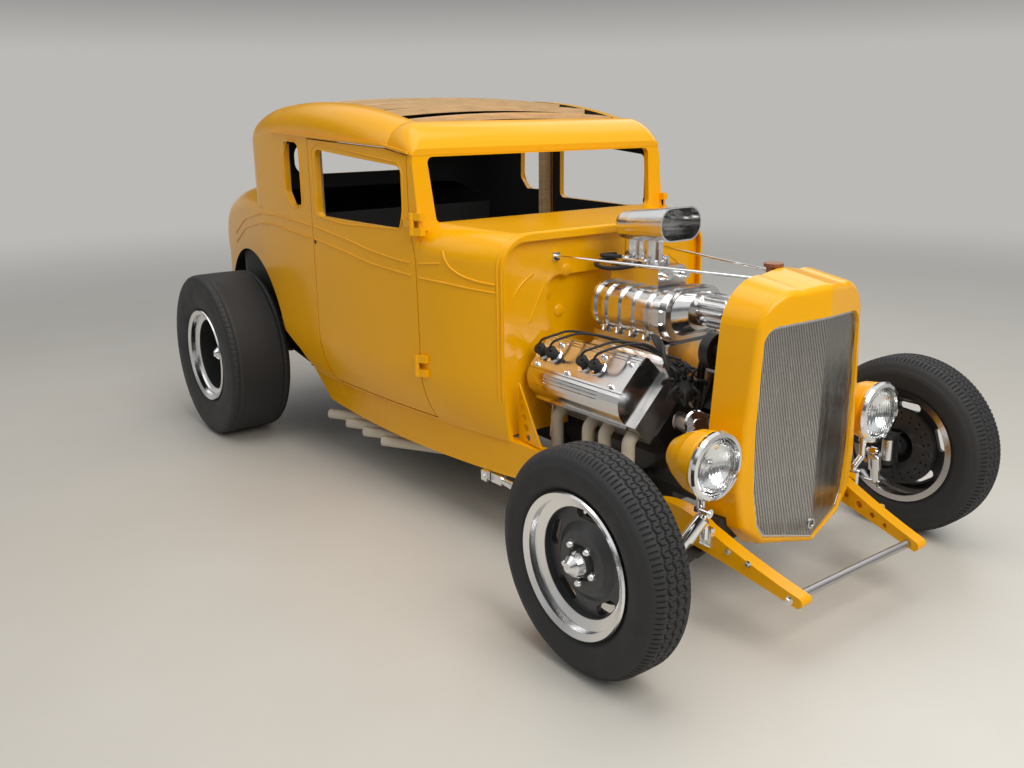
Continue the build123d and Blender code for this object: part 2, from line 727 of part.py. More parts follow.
tie_rod_z = arm_z - 12.5
with BuildPart() as tie_rod:
    tie_x = front_axle_x - arm_reach
    add(rod((tie_x, -arm_pin_y + 10, tie_rod_z), (tie_x, arm_pin_y - 10, tie_rod_z), 11))
    for side in (-1, 1):
        with Locations((tie_x, side * arm_pin_y, tie_rod_z)):
            Cylinder(15, 24)
keep("tie_rod", tie_rod.part)

# Front spring over the axle, hung from the front crossmember
with BuildPart() as front_spring:
    spring_z = 272 - seat_gap
    for leaf, reach in enumerate((430, 360, 290, 220, 150)):
        with BuildSketch(Plane.YZ.offset(front_axle_x - 22)):
            with BuildLine():
                top = spring_z - 7 * leaf
                droop = 71 * (reach / 430) ** 2
                over = ThreePointArc((-reach, top - droop), (0, top), (reach, top - droop))
                under = ThreePointArc((-reach, top - droop - 7), (0, top - 7), (reach, top - droop - 7))
                Line(over @ 0, under @ 0)
                Line(over @ 1, under @ 1)
            make_face()
        extrude(amount=44)
    for side in (-1, 1):
        add(rod((front_axle_x - 24, side * 432, spring_z - 71), (front_axle_x + 24, side * 432, spring_z - 71), 12))
keep("front_spring", front_spring.part)

# Hairpin rods from the axle back to brackets under the rails
hairpin_front = (back(8), -505, 262)
hairpin_low = (back(8), -505, 172)
hairpin_rear = (back(832), -470, 228)
with BuildPart() as hairpins:
    clevis = Vector(*hairpin_rear)
    add(rod(hairpin_front, hairpin_rear, 11))
    add(rod(hairpin_low, hairpin_rear, 11))
    with Locations(hairpin_rear):
        Box(60, 24, 34)
    add(block((back(905), -478, 216), (back(850), -462, 240)))
    add(block((back(900), -500, 212), (back(866), -484, rail_floor_z - seat_gap)))
    add(block((back(900), -456, 212), (back(866), -440, rail_floor_z - seat_gap)))
    add(rod((back(883), -504, 228), (back(883), -436, 228), 7))
    mirror(about=Plane.XZ)
keep("hairpin_rods", hairpins.part)

# Rear axle, its springs and its arms
axle_tube_end = 560
with BuildPart() as rear_axle:
    add(turned([(-axle_tube_end, 14.95), (-axle_tube_end, 40), (-150, 46), (-120, 96), (-60, 140), (60, 140), (120, 96),
                (150, 46), (axle_tube_end, 40), (axle_tube_end, 14.95)], rear_axle_x, rear_tyre_radius))
    add(rod((rear_axle_x, 0, rear_tyre_radius), (rear_axle_x + 230, 0, rear_tyre_radius - 6), 60))
    for side in (-1, 1):
        add(turned([(side * axle_tube_end, 16 + fit), (side * axle_tube_end, 135), (side * (axle_tube_end + 8), 135),
                    (side * (axle_tube_end + 8), 16 + fit)], rear_axle_x, rear_tyre_radius))
with BuildPart() as rear_drum:
    add(turned([(-rear_hub_face_y + 0.3, 0), (-rear_hub_face_y + 0.3, 78), (-axle_tube_end - 70, 92),
                (-axle_tube_end - 66, 140), (-axle_tube_end - 12, 140), (-axle_tube_end - 12, 130),
                (-axle_tube_end - 58, 126), (-axle_tube_end - 62, 30), (-axle_tube_end - 30, 16), (-axle_tube_end + 40, 16),
                (-axle_tube_end + 40, 0)], rear_axle_x, rear_tyre_radius))
with BuildPart() as axle_bore:
    add(rear_axle.part)
    for side in (-1, 1):
        add(rod((rear_axle_x, side * 500, rear_tyre_radius), (rear_axle_x, side * 700, rear_tyre_radius), 16 + fit),
            mode=Mode.SUBTRACT)
keep("rear_axle", axle_bore.part)
keep("rear_drum_right", rear_drum.part)
keep("rear_drum_left", mirrored(rear_drum.part))

# Firewall, floor and inner panels
tunnel_half = 165
tunnel_z = 560
floor_z = sill_z
floor_skin = 6
firewall_x = back(800)
lining = tub_solids(wall + seat_gap)


def tunnel(grow, past=0):
    """The hump over the gearbox and the propeller shaft, tapering towards the rear."""
    with BuildPart() as hump:
        for station, half, crown in ((802 - past, tunnel_half, tunnel_z), (2200 + past, 85, 478)):
            with BuildSketch(Plane.YZ.offset(back(station))):
                with BuildLine():
                    side, crest, spring = half + grow, crown + grow, crown - half * 0.7
                    ThreePointArc((side, spring), (0, crest), (-side, spring))
                    Polyline((-side, spring), (-side, 300), (side, 300), (side, spring))
                make_face()
        loft(ruled=True)
    return hump.part


with BuildPart() as floor_pan:
    add(side_outline(wall + tuck_depth + seat_gap, back(802), tail_x, Plane.XY.offset(floor_z),
                     front_tuck=0.75 * tuck_depth))
    extrude(amount=floor_skin)
    add(tunnel(floor_skin))
    split(bisect_by=Plane.XY.offset(floor_z))
    split(bisect_by=Plane.YZ.offset(back(2200)))
    add(tunnel(0, 3), mode=Mode.SUBTRACT)

with BuildPart() as firewall:
    add(lining[0])
    add(block((firewall_x - 6, -700, 300), (firewall_x, 700, 1300)), mode=Mode.INTERSECT)
    split(bisect_by=Plane.XY.offset(floor_z + floor_skin + seat_gap))
    with BuildSketch(Plane.YZ.offset(firewall_x - 34)):
        with Locations((0, 760)):
            RectangleRounded(560, 380, 60)
    extrude(amount=34)
    with BuildSketch(Plane.YZ.offset(firewall_x - 28)):
        with Locations((0, 760)):
            RectangleRounded(548, 368, 54)
    extrude(amount=40, mode=Mode.SUBTRACT)
    add(tunnel(floor_skin + seat_gap), mode=Mode.SUBTRACT)
    add(block((firewall_x - 40, -tunnel_half - 8, 300), (firewall_x + 5, tunnel_half + 8, tunnel_z + 10)), mode=Mode.SUBTRACT)

with BuildPart() as bulkhead:
    with BuildSketch(Plane.YZ.offset(back(2300))):
        with BuildLine():
            Polyline((-520, kick_z + 16), (520, kick_z + 16), (560, 1060), (-560, 1060), close=True)
        make_face()
    extrude(amount=8)
    add(block((back(3130), -535, kick_z + 8), (back(2200), 535, kick_z + 16)))
    add(block((back(2208), -440, floor_z + floor_skin + seat_gap), (back(2200.3), 440, kick_z + 8)))
    add(block((back(2212), -93, 300), (back(2196), 93, 488)), mode=Mode.SUBTRACT)
    add(block((back(1222), -566, 990), (back(1198), 566, 1084)))

tub_inner_y = -546
with BuildPart() as wheel_tub:
    with BuildSketch(Plane.XZ.offset(-tub_inner_y - 6)):
        with Locations((rear_axle_x, 395)):
            Circle(492)
    extrude(amount=6)
    with BuildSketch(Plane.XZ.offset(-tub_inner_y)):
        with Locations((rear_axle_x, 395)):
            Circle(492)
            Circle(486, mode=Mode.SUBTRACT)
    extrude(amount=68)
    split(bisect_by=Plane.XY.offset(kick_z + 16 + seat_gap))
with BuildPart() as tub_space:
    add(lining[1])
    add(lining[2])
    split(bisect_by=Plane.YZ.offset(back(2202)), keep=Keep.BOTTOM)
# Wood: the bows of the open roof and the posts behind the doors
bow_half = 490 - seat_gap
bows = [(1330, 1476), (1500, 1507), (1670, 1529), (1840, 1541), (2010, 1543), (2152, 1537)]
with BuildPart() as roof_bows:
    for station, end_z in bows:
        with BuildSketch(Plane.YZ.offset(back(station) - 22)):
            with BuildLine():
                upper = ThreePointArc((-bow_half, end_z), (0, end_z + 20), (bow_half, end_z))
                lower = ThreePointArc((-bow_half, end_z - 24), (0, end_z - 4), (bow_half, end_z - 24))
                Line(upper @ 0, lower @ 0)
                Line(upper @ 1, lower @ 1)
            make_face()
        extrude(amount=44)
with BuildPart() as wood_frame:
    add(roof_bows.part)
    add(block((back(1908), side_half(door_rear_x) - wall - 44, 640), (back(1872), side_half(door_rear_x) - wall - 0.5, 1385)))
    add(block((back(1908), 44 + wall - side_half(door_rear_x), 640), (back(1872), 0.5 + wall - side_half(door_rear_x), 1385)))
keep("floor_pan", floor_pan.part)
keep("firewall", firewall.part)
keep("inner_panels", bulkhead.part)
with BuildPart() as wheel_tubs:
    add(wheel_tub.part)
    mirror(about=Plane.XZ)
    add(tub_space.part, mode=Mode.INTERSECT)
keep("wheel_tubs", wheel_tubs.part)
keep("wood_frame", wood_frame.part)

# The outside rails that carry rain off the roof, just over the doors and the quarter windows
with BuildPart() as drip_rails:
    add(side_outline(-9, back(1060), back_x, Plane.XY.offset(1300), square_back=back_corner))
    extrude(amount=200)
    add(side_outline(-seat_gap, back(1060), back_x, Plane.XY.offset(1300), square_back=back_corner))
    extrude(amount=200, mode=Mode.SUBTRACT)
    add(side_prism([(1150, 1362), (1300, 1387), (1862, 1412), (2225, 1424), (2225, 1432), (1862, 1420), (1300, 1395),
                    (1150, 1370)]), mode=Mode.INTERSECT)
keep("roof", roof.part)
keep("drip_rails", drip_rails.part)
# Grille shell: a pointed front on a tapered surround
shell_rear_x = back(20)
shell_depth = 190
shell_draft = 9
prow = 60
shell_outline_points = [(0, 178), (205, 214), (282, 300), (306, 420), (288, 620), (270, 830), (262, 905)]


def shell_outline(inset, plane):
    """The shell seen from the front, moved in by the inset."""
    with BuildSketch(plane) as outline:
        with BuildLine():
            top = 1040 - inset
            Polyline(*[(max(y - inset, 0), z + inset * (1.15 if z < 300 else 0)) for y, z in shell_outline_points])
            ThreePointArc((262 - inset, 905), (200 - inset * 0.75, 1000 - inset * 0.7), (90, 1027 - inset))
            ThreePointArc((90, 1027 - inset), (45, 1035 - inset), (0, top))
            mirror(about=Plane.YZ)
        make_face()
    return outline.sketch


shell_front_round = 22
shell_skin = 9
prow_skin = 14
insert_setback = 9


def insert_outline(inset, plane):
    """The grille opening seen from the front, moved in by the inset."""
    with BuildSketch(plane) as outline:
        with BuildLine():
            Polyline((0, 222 + inset), (186 - inset, 258 + inset), (212 - inset, 300 + inset / 2), (232 - inset, 420),
                     (237 - inset, 600), (226 - inset, 850))
            ThreePointArc((226 - inset, 850), (212 - inset * 0.8, 890 - inset * 0.7), (175, 908 - inset))
            Line((175, 908 - inset), (0, 920 - inset))
            mirror(about=Plane.YZ)
        make_face()
    return outline.sketch


def prow_block(setback):
    """Everything behind the V of the grille's front, moved back by the setback."""
    with BuildPart() as prism:
        with BuildSketch(Plane.XY):
            with BuildLine():
                tip = back(-165) - setback
                Polyline((shell_rear_x - 60, -420), (tip - prow * 420 / 250, -420), (tip, 0),
                         (tip - prow * 420 / 250, 420), (shell_rear_x - 60, 420), close=True)
            make_face()
        extrude(amount=1200)
    return prism.part


with BuildPart() as grille_shell:
    add(shell_outline(0, Plane.YZ.offset(shell_rear_x)))
    add(shell_outline(shell_depth * math.tan(math.radians(shell_draft)), Plane.YZ.offset(shell_rear_x + shell_depth)))
    loft(ruled=True)
    add(prow_block(0), mode=Mode.INTERSECT)
    front_rim = [edge for edge in grille_shell.edges() if edge.bounding_box().max.X > shell_rear_x + 100
                 and edge.bounding_box().min.X > shell_rear_x + 90
                 and edge.bounding_box().max.Y * edge.bounding_box().min.Y >= -1
                 and not (abs(edge.center().Y) < 1)]
    fillet(front_rim, shell_front_round)

with BuildPart() as shell_cavity:
    add(shell_outline(shell_skin, Plane.YZ.offset(shell_rear_x - 1)))
    add(shell_outline(shell_skin + shell_depth * math.tan(math.radians(shell_draft)),
                      Plane.YZ.offset(shell_rear_x + shell_depth)))
    loft(ruled=True)
    add(prow_block(prow_skin), mode=Mode.INTERSECT)
with BuildPart() as shell_hollow:
    add(grille_shell.part)
    add(shell_cavity.part, mode=Mode.SUBTRACT)
    add(insert_outline(0, Plane.YZ.offset(shell_rear_x + 60)))
    extrude(amount=200, dir=(1, 0, 0), mode=Mode.SUBTRACT)
    add(block((back(21), -320, 170), (back(-50), 320, 328)), mode=Mode.SUBTRACT)
keep("grille_shell", shell_hollow.part)

bar_pitch = 5.8
bar_width = 2.6
bar_count = 80


def insert_slab(inset, front, rear):
    """The V-shaped slice of the opening's prism between two setbacks."""
    with BuildPart() as slab:
        add(insert_outline(inset, Plane.YZ.offset(shell_rear_x + 30)))
        extrude(amount=200, dir=(1, 0, 0))
        add(prow_block(front), mode=Mode.INTERSECT)
        add(prow_block(rear), mode=Mode.SUBTRACT)
    return slab.part


with BuildPart() as insert_ring:
    add(insert_slab(seat_gap, insert_setback, insert_setback + 14))
    add(insert_slab(9, insert_setback - 1, insert_setback + 15), mode=Mode.SUBTRACT)
with BuildPart() as insert_rails:
    for height in (452, 688):
        add(block((shell_rear_x, -300, height - 3), (shell_rear_x + 250, 300, height + 3)))
    add(insert_slab(4, insert_setback + 8, insert_setback + 13), mode=Mode.INTERSECT)
with BuildPart() as grille_insert:
    add(insert_slab(5, insert_setback + 2, insert_setback + 10))
    with BuildSketch(Plane.YZ.offset(shell_rear_x + 30)):
        with Locations((0, 570)):
            with GridLocations(bar_pitch, 1, bar_count, 1):
                Rectangle(bar_pitch - bar_width, 760)
    extrude(amount=200, mode=Mode.SUBTRACT)
    add(insert_ring.part)
    add(insert_rails.part)
    add(rod((back(-80), 0, 268), (back(-165) - insert_setback - 1, 0, 268), 17, 11))
keep("grille_insert", grille_insert.part)

# Radiator inside the shell, with its neck behind it, and the stay rods to the firewall
radiator_x = back(-62)
with BuildPart() as radiator:
    add(block((radiator_x - 64, -206, 349), (radiator_x - 10, 206, 905)))
    with BuildSketch(Plane.YZ.offset(radiator_x - 70)):
        with Locations((0, 932)):
            RectangleRounded(420, 58, 18)
        with Locations((0, 337.3)):
            Rectangle(420, 22)
    extrude(amount=66)
    add(block((back(76), -48, 963), (radiator_x - 40, 48, 978)))
    add(block((radiator_x - 70, -48, 940), (radiator_x - 40, 48, 978)))
    add(rod((back(48), 0, 975), (back(48), 0, 1042), 22))
    add(rod((back(48), 0, 1040), (back(48), 0, 1050), 30))
keep("radiator", radiator.part)

with BuildPart() as stay_rods:
    for side in (-1, 1):
        add(rod((firewall_x + 8, side * 235, 1012), (back(16), side * 58, 1009), 4.5))
        add(block((firewall_x + seat_gap, side * 235 - 14, 998), (firewall_x + 10, side * 235 + 14, 1026)))
        add(block((back(30), side * 58 - 13, 1006), (back(-12), side * 58 + 13, 1012)))
keep("stay_rods", stay_rods.part)

lamp_y = 397
lamp_z = 535
lamp_x = back(-100)
lamp_radius = 89


def lamp_turned(points):
    """A pair of turned lamp pieces from (distance ahead of the lens plane, radius) points."""
    with BuildPart() as pair:
        for side in (-1, 1):
            with BuildSketch(Plane(origin=(lamp_x, side * lamp_y, lamp_z), x_dir=(1, 0, 0), z_dir=(0, -1, 0))):
                with BuildLine():
                    Polyline(*points, close=True)
                make_face()
            revolve(axis=Axis((lamp_x, side * lamp_y, lamp_z), (1, 0, 0)))
    return pair.part


lamp_buckets = lamp_turned([(-6, lamp_radius + 4), (-20, lamp_radius + 8), (-60, lamp_radius + 3), (-105, 72), (-140, 50),
                            (-158, 26), (-163, 0), (-157, 0), (-150, 24), (-134, 46), (-100, 67), (-58, lamp_radius - 2),
                            (-20, lamp_radius + 3), (-6, lamp_radius)])
lamp_rings = lamp_turned([(-5.7, lamp_radius + 12), (6, lamp_radius + 15), (14, lamp_radius + 9), (16, lamp_radius - 2),
                          (9, lamp_radius - 3), (2, lamp_radius + 3), (-5.7, lamp_radius)])
lamp_lenses = lamp_turned([(2, lamp_radius - 3.3), (9, lamp_radius - 3.3), (17, 70), (23, 45), (26, 20), (27, 0), (22, 0), (18, 45),
                           (10, 72), (2, lamp_radius - 10)])
keep("lamp_buckets", lamp_buckets)
keep("lamp_rings", lamp_rings)
keep("lamp_lenses", lamp_lenses)

# Chrome stands: they rise from the rails, carry the lamps and hold the dampers' tops
stand_x = lamp_x - 42
damper_top = (stand_x + 35, lamp_y + 14, 394)
damper_foot = (front_axle_x + 42, damper_foot_y, damper_foot_z)
with BuildPart() as lamp_stands:
    add(bent_tube([(back(-50), 366, 286), (back(-50), 366, 336), (stand_x, lamp_y, 372), (stand_x, lamp_y, 430)], 14, 11))
    add(rod((stand_x, lamp_y, 422), (stand_x, lamp_y, 438.7), 15))
    add(block((back(-72), 350, 262), (back(-30), 366, 322)))
    add(rod((stand_x, lamp_y + 14, 394), (stand_x + 50, lamp_y + 14, 394), 6.8))
    add(block((stand_x - 8, lamp_y, 387), (stand_x + 8, lamp_y + 22, 401)))
    mirror(about=Plane.XZ)
with BuildPart() as dampers:
    top, foot = Vector(*damper_top), Vector(*damper_foot)
    lean = (foot - top).normalized()
    add(rod(tuple(top + lean * 10), tuple(top + lean * 24), 9))
    add(rod(tuple(top + lean * 20), tuple(top + lean * 96), 22))
    add(rod(tuple(top + lean * 96), tuple(foot - lean * 34), 16))
    add(rod(tuple(foot - lean * 36), tuple(foot - lean * 9), 9))
    for x, y, z in (damper_top, damper_foot):
        add(rod((x - 11, y, z), (x + 11, y, z), 14))
        add(rod((x - 12, y, z), (x + 12, y, z), 7), mode=Mode.SUBTRACT)
    mirror(about=Plane.XZ)
keep("front_dampers", dampers.part)
keep("lamp_stands", lamp_stands.part)

# Engine: two banks at 45 degrees either side of the crank's line
crank_z = 360
deck_height = 260
head_height = 355
cover_height = 470
root_two = math.sqrt(2)


def bank_point(across, up):
    """A point of the left bank's section: across points outward, up points away from the crank."""
    return ((up + across) / root_two, crank_z + (up - across) / root_two)


def bank_pair(points, front, rear):
    """Both banks' prisms of a section given as (across, up) points, between two stations."""
    with BuildPart() as pair:
        with BuildSketch(Plane.YZ.offset(back(rear))):
            with BuildLine():
                Polyline(*[bank_point(across, up) for across, up in points], close=True)
            make_face()
        extrude(amount=rear - front)
        mirror(about=Plane.XZ)
    return pair.part


def section_prism(points, front, rear):
    """A prism along the car from one half of its section, given as (y, z) points from the middle out."""
    with BuildPart() as prism:
        with BuildSketch(Plane.YZ.offset(back(rear))):
            with BuildLine():
                Polyline(*points)
                Line(points[-1], points[0])
            make_face()
            mirror(about=Plane.YZ)
        extrude(amount=rear - front)
    return prism.part


with BuildPart() as engine_block:
    add(bank_pair([(-80, 140), (-80, deck_height), (80, deck_height), (80, 140)], 280, 697))
    add(section_prism([(0, 290), (140, 290), (150, 380), (110, 470), (0, 516)], 262, 700))
    add(section_prism([(0, 262), (95, 262), (110, 420), (60, 500), (0, 510)], 112, 262))
    add(block((back(660), -100, 205), (back(330), 100, 292)))
    add(block((back(330), -100, 245), (back(230), 100, 292)))
    add(rod((back(114), 0, 500), (back(64), 0, 500), 32))
    for side in (-1, 1):
        add(block((back(416), side * 240 - 110.3, 300), (back(378), side * 240 + 110.3, 316)))
keep("engine_block", engine_block.part)

with BuildPart() as cylinder_heads:
    add(bank_pair([(-115, deck_height + seat_gap), (-115, head_height), (115, head_height),
                   (115, deck_height + seat_gap)], 285, 775))
keep("cylinder_heads", cylinder_heads.part)

with BuildPart() as valve_covers:
    low = head_height + seat_gap
    add(bank_pair([(-98, low), (-98, low + 10), (-90, low + 14), (-90, cover_height - 18), (-84, cover_height - 6),
                   (-72, cover_height), (56, cover_height), (76, cover_height - 5), (94, cover_height - 16),
                   (108, cover_height - 32), (118, cover_height - 51), (122, cover_height - 72), (122, low + 14),
                   (130, low + 10), (130, low)], 308, 768))
    for groove, level, front, rear in ((-76, 469, 300, 780), (-66, 470, 300, 780), (-56, 470, 300, 780),
                                       (62, 469, 300, 780), (76, 465, 410, 680), (86, 459, 410, 680), (96, 452, 410, 680)):
        add(bank_pair([(groove, level + 8), (groove + 4, level + 8), (groove + 4, level - 6), (groove, level - 6)],
                      front, rear), mode=Mode.SUBTRACT)
keep("valve_covers", valve_covers.part)

with BuildPart() as intake_manifold:
    add(section_prism([(0, 520), (44, 524), (92, 621), (160, 688), (160, 700), (138, 716), (138, 757), (0, 757)], 340, 700))
keep("intake_manifold", intake_manifold.part)

with BuildPart() as supercharger:
    for station, depth, width, low, high, corner in ((690, 290, 284, 757.3, 920, 66), (702, 14, 300, 758, 926, 70),
                                                     (646, 11, 300, 758, 926, 70), (580, 11, 300, 758, 926, 70),
                                                     (514, 11, 300, 758, 926, 70), (448, 11, 300, 758, 926, 70),
                                                     (402, 28, 306, 758, 930, 70), (376, 20, 276, 764, 926, 72)):
        with BuildSketch(Plane.YZ.offset(back(station))):
            with Locations((0, (low + high) / 2)):
                RectangleRounded(width, high - low, corner)
        extrude(amount=depth)
    with BuildSketch(Plane.YZ.offset(back(358))):
        with Locations((0, 848)):
            RectangleRounded(230, 144, 70)
    with BuildSketch(Plane.YZ.offset(back(316))):
        with Locations((0, 858)):
            RectangleRounded(150, 116, 56)
    loft()
    add(block((back(690), -114, 757.3), (back(400), 114, 800)))
    add(rod((back(318), 0, 870), (back(98), 0, 870), 50))
    add(rod((back(318), 0, 870), (back(296), 0, 870), 60))
    add(block((back(692), -67, 900), (back(462), 67, 982)))
keep("supercharger", supercharger.part)

pulley_front = 58
pulley_rear = 92
drive_wheels = ((870, 85), (crank_z, 92))
with BuildPart() as blower_drive:
    for height, radius in drive_wheels:
        add(rod((back(pulley_rear), 0, height), (back(pulley_front), 0, height), radius - 5))
        for station in (pulley_rear, pulley_front + 5):
            add(rod((back(station), 0, height), (back(station - 5), 0, height), radius + 2))
        add(rod((back(97.5), 0, height), (back(pulley_front - 8), 0, height), 30))
    add(rod((back(111.5), 0, crank_z), (back(90), 0, crank_z), 26))
with BuildPart() as blower_belt:
    with BuildSketch(Plane.YZ.offset(back(pulley_rear - 6))):
        for grow, mode in ((1, Mode.ADD), (-4.5, Mode.SUBTRACT)):
            with BuildSketch(mode=Mode.PRIVATE) as loop:
                for height, radius in drive_wheels:
                    with Locations((0, height)):
                        Circle(radius + grow)
                make_hull()
            add(loop.sketch, mode=mode)
    extrude(amount=pulley_rear - pulley_front - 12)
keep("blower_drive", blower_drive.part)
keep("blower_belt", blower_belt.part)

# Rows of the scoop: station, half width, lowest and highest level, corner radius; its mouth is the last
scoop_rows = [(690, 38, 1090, 1146, 26), (676, 66, 1079, 1157, 37), (650, 84, 1071, 1166, 45), (600, 90, 1069, 1172, 49),
              (430, 96, 1078, 1192, 54)]


def scoop_solid(skin):
    """The scoop's body; with a skin, the space inside it, open at the mouth."""
    with BuildPart() as scoop:
        for n, (station, half, low, high, corner) in enumerate(scoop_rows):
            shift = (-skin if n == 0 else 0) - (4 if skin and n == len(scoop_rows) - 1 else 0)
            with BuildSketch(Plane.YZ.offset(back(station + shift))):
                with Locations((0, (low + high) / 2)):
                    RectangleRounded(2 * (half - skin), high - low - 2 * skin, corner - skin)
        loft(ruled=True)
    return scoop.part


with BuildPart() as air_scoop:
    add(scoop_solid(0))
    add(scoop_solid(5), mode=Mode.SUBTRACT)
    for station in (650, 554):
        add(rod((back(station), 0, 982.3), (back(station), 0, 1090), 32, 27))
    add(block((back(688), -60, 982.3), (back(466), 60, 992)))
keep("air_scoop", air_scoop.part)

# Exhaust: four tubes a side run down inside the rails, back under the frame and out at an angle
tube_radius = 22
tube_bore = 19.5
pipe_z = 184
drop_y = 312
pipes = [(334, 162, 1423.5, 2054), (447, 212, 1338, 1882), (528, 262, 1271.7, 1729), (693, drop_y, 1200.3, 1571)]
with BuildPart() as header_pipes:
    for drop, lane_y, turn, tip in pipes:
        lean = (tip - turn) * math.tan(math.radians(30))
        points = [(back(drop), *bank_point(115.4, 297)), (back(drop), drop_y, 468), (back(drop), drop_y, pipe_z)]
        if lane_y < drop_y:
            points += [(back(drop + 0.58 * (drop_y - lane_y)), lane_y, pipe_z)]
        points += [(back(turn), lane_y, pipe_z), (back(tip), lane_y + lean, pipe_z)]
        add(bent_tube(points, 26, tube_radius))
        end = Vector(back(tip), lane_y + lean, pipe_z)
        along = (end - Vector(back(turn), lane_y, pipe_z)).normalized()
        add(rod(tuple(end - along * 90), tuple(end + along), tube_bore), mode=Mode.SUBTRACT)
    mirror(about=Plane.XZ)
keep("header_pipes", header_pipes.part)

# Gearbox and propeller shaft
with BuildPart() as gearbox:
    with BuildSketch(Plane(origin=(0, 0, crank_z), x_dir=(1, 0, 0), z_dir=(0, -1, 0))):
        with BuildLine():
            Polyline((back(700.3), 0), (back(700.3), 165), (back(716), 165), (back(716), 148), (back(880), 118), (back(900), 95),
                     (back(1120), 88), (back(1130), 70), (back(1262), 48), (back(1262), 0), close=True)
        make_face()
    revolve(axis=Axis((0, 0, crank_z), (1, 0, 0)))
    add(block((back(1120), -100, 250), (back(900), 100, 330)))
keep("gearbox", gearbox.part)
with BuildPart() as driveshaft:
    add(rod((back(1262.9), 0, crank_z), (back(1320), 0, crank_z + 1), 30))
    add(rod((back(1300), 0, crank_z + 0.7), (back(2440), 0, rear_tyre_radius - 6), 34))
    add(rod((back(2420), 0, rear_tyre_radius - 6), (back(2460.4), 0, rear_tyre_radius - 6), 50))
keep("driveshaft", driveshaft.part)

# Rear spring legs and trailing arms
leg_foot = (back(2762), 384, 350)
leg_top = (back(2922), 340, 520)
with BuildPart() as spring_legs:
    foot, top = Vector(*leg_foot), Vector(*leg_top)
    lean = (top - foot).normalized()
    add(rod(tuple(foot - lean * 20), tuple(foot + lean * 130), 20))
    add(rod(tuple(foot + lean * 130), tuple(top - lean * 8), 12))
    for n in range(8):
        add(rod(tuple(foot + lean * (26 + 20 * n)), tuple(foot + lean * (35 + 20 * n)), 33))
    add(block((back(2929.5), 322, 500), (back(2912), 358, 538)))
    mirror(about=Plane.XZ)
keep("spring_legs", spring_legs.part)
with BuildPart() as rear_arms:
    add(rod((back(2640), 420, 372), (back(2160), 420, 300), 15))
    add(rod((back(2640), 420, 372), (back(2150), 420, 300), 9))
    add(block((back(2175), 402, 282), (back(2145.5), 438, 318)))
    mirror(about=Plane.XZ)
keep("rear_arms", rear_arms.part)

# Gussets from the rails' tops to the cowl's front
with BuildPart() as gussets:
    with BuildSketch(Plane.XZ.offset(-425)):
        with BuildLine():
            Polyline((back(767), 591), (back(767), sill_z), (back(644), sill_z), close=True)
        make_face()
        for station, height, radius in ((752, 540, 7), (746, 508, 9), (737, 474, 11), (727, 438, 13), (716, 404, 12)):
            with Locations((back(station), height)):
                Circle(radius, mode=Mode.SUBTRACT)
    extrude(amount=6)
    mirror(about=Plane.XZ)
keep("cowl_gussets", gussets.part)
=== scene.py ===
# %% [markdown]
# # Dressing a hot rod coupe
# The metal of this car is already there: a frame of closed solids, each on the body that
# it moves with. What is left is what the eye reads first, so this lesson gives every part
# its finish and adds the small things that are too fine for the frame: tyre tread, bolts,
# plug leads, reflectors and beads. All places come from the frame itself, in metres.

# %% Load the frame
import json
import math

import bmesh
import bpy
import numpy as np
from mathutils import Matrix, Vector
from mathutils.bvhtree import BVHTree


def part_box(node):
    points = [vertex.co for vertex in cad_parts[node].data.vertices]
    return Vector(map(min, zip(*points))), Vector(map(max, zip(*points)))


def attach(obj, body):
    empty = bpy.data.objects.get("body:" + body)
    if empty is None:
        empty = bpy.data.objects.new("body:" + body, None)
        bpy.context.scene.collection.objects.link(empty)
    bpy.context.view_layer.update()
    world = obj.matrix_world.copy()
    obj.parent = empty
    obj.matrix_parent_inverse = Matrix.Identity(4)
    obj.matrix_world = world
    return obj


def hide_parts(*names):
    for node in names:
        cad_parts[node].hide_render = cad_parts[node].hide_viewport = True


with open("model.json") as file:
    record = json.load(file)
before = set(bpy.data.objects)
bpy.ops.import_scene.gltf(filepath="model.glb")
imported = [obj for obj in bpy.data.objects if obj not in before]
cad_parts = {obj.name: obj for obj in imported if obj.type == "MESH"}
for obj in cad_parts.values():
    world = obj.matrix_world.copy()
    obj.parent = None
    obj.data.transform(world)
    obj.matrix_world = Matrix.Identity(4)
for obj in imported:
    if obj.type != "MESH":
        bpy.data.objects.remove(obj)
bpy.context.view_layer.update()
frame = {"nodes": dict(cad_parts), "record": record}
nodes = frame["nodes"]
to_front = (1, 0, 0)
to_sky = (0, 0, 1)
both_sides = ((-1, "right"), (1, "left"))

# %% [markdown]
# The camera stands where the photographer stood: in front of the car's right wheel, at eye
# height and looking a little down. Its place was worked out once from straight edges of the
# car whose sizes are known, and is kept here as plain numbers.

# %% Set up the camera
camera_at = Vector((3.1829, -2.3545, 1.4949))
camera_yaw = math.radians(143.1424)
camera_pitch = math.radians(-15.8803)
camera_roll = math.radians(-0.6726)
photo_width = 1024
focal_pixels = 953.447


def aim_matrix(yaw, pitch, roll):
    """The camera's turn: it looks along its own -Z, with +Y up."""
    ahead = Vector((math.cos(pitch) * math.cos(yaw), math.cos(pitch) * math.sin(yaw),
                    math.sin(pitch)))
    right = ahead.cross(Vector(to_sky)).normalized()
    up = right.cross(ahead)
    rolled_right = math.cos(roll) * right + math.sin(roll) * up
    rolled_up = math.cos(roll) * up - math.sin(roll) * right
    return Matrix((rolled_right, rolled_up, -ahead)).transposed()


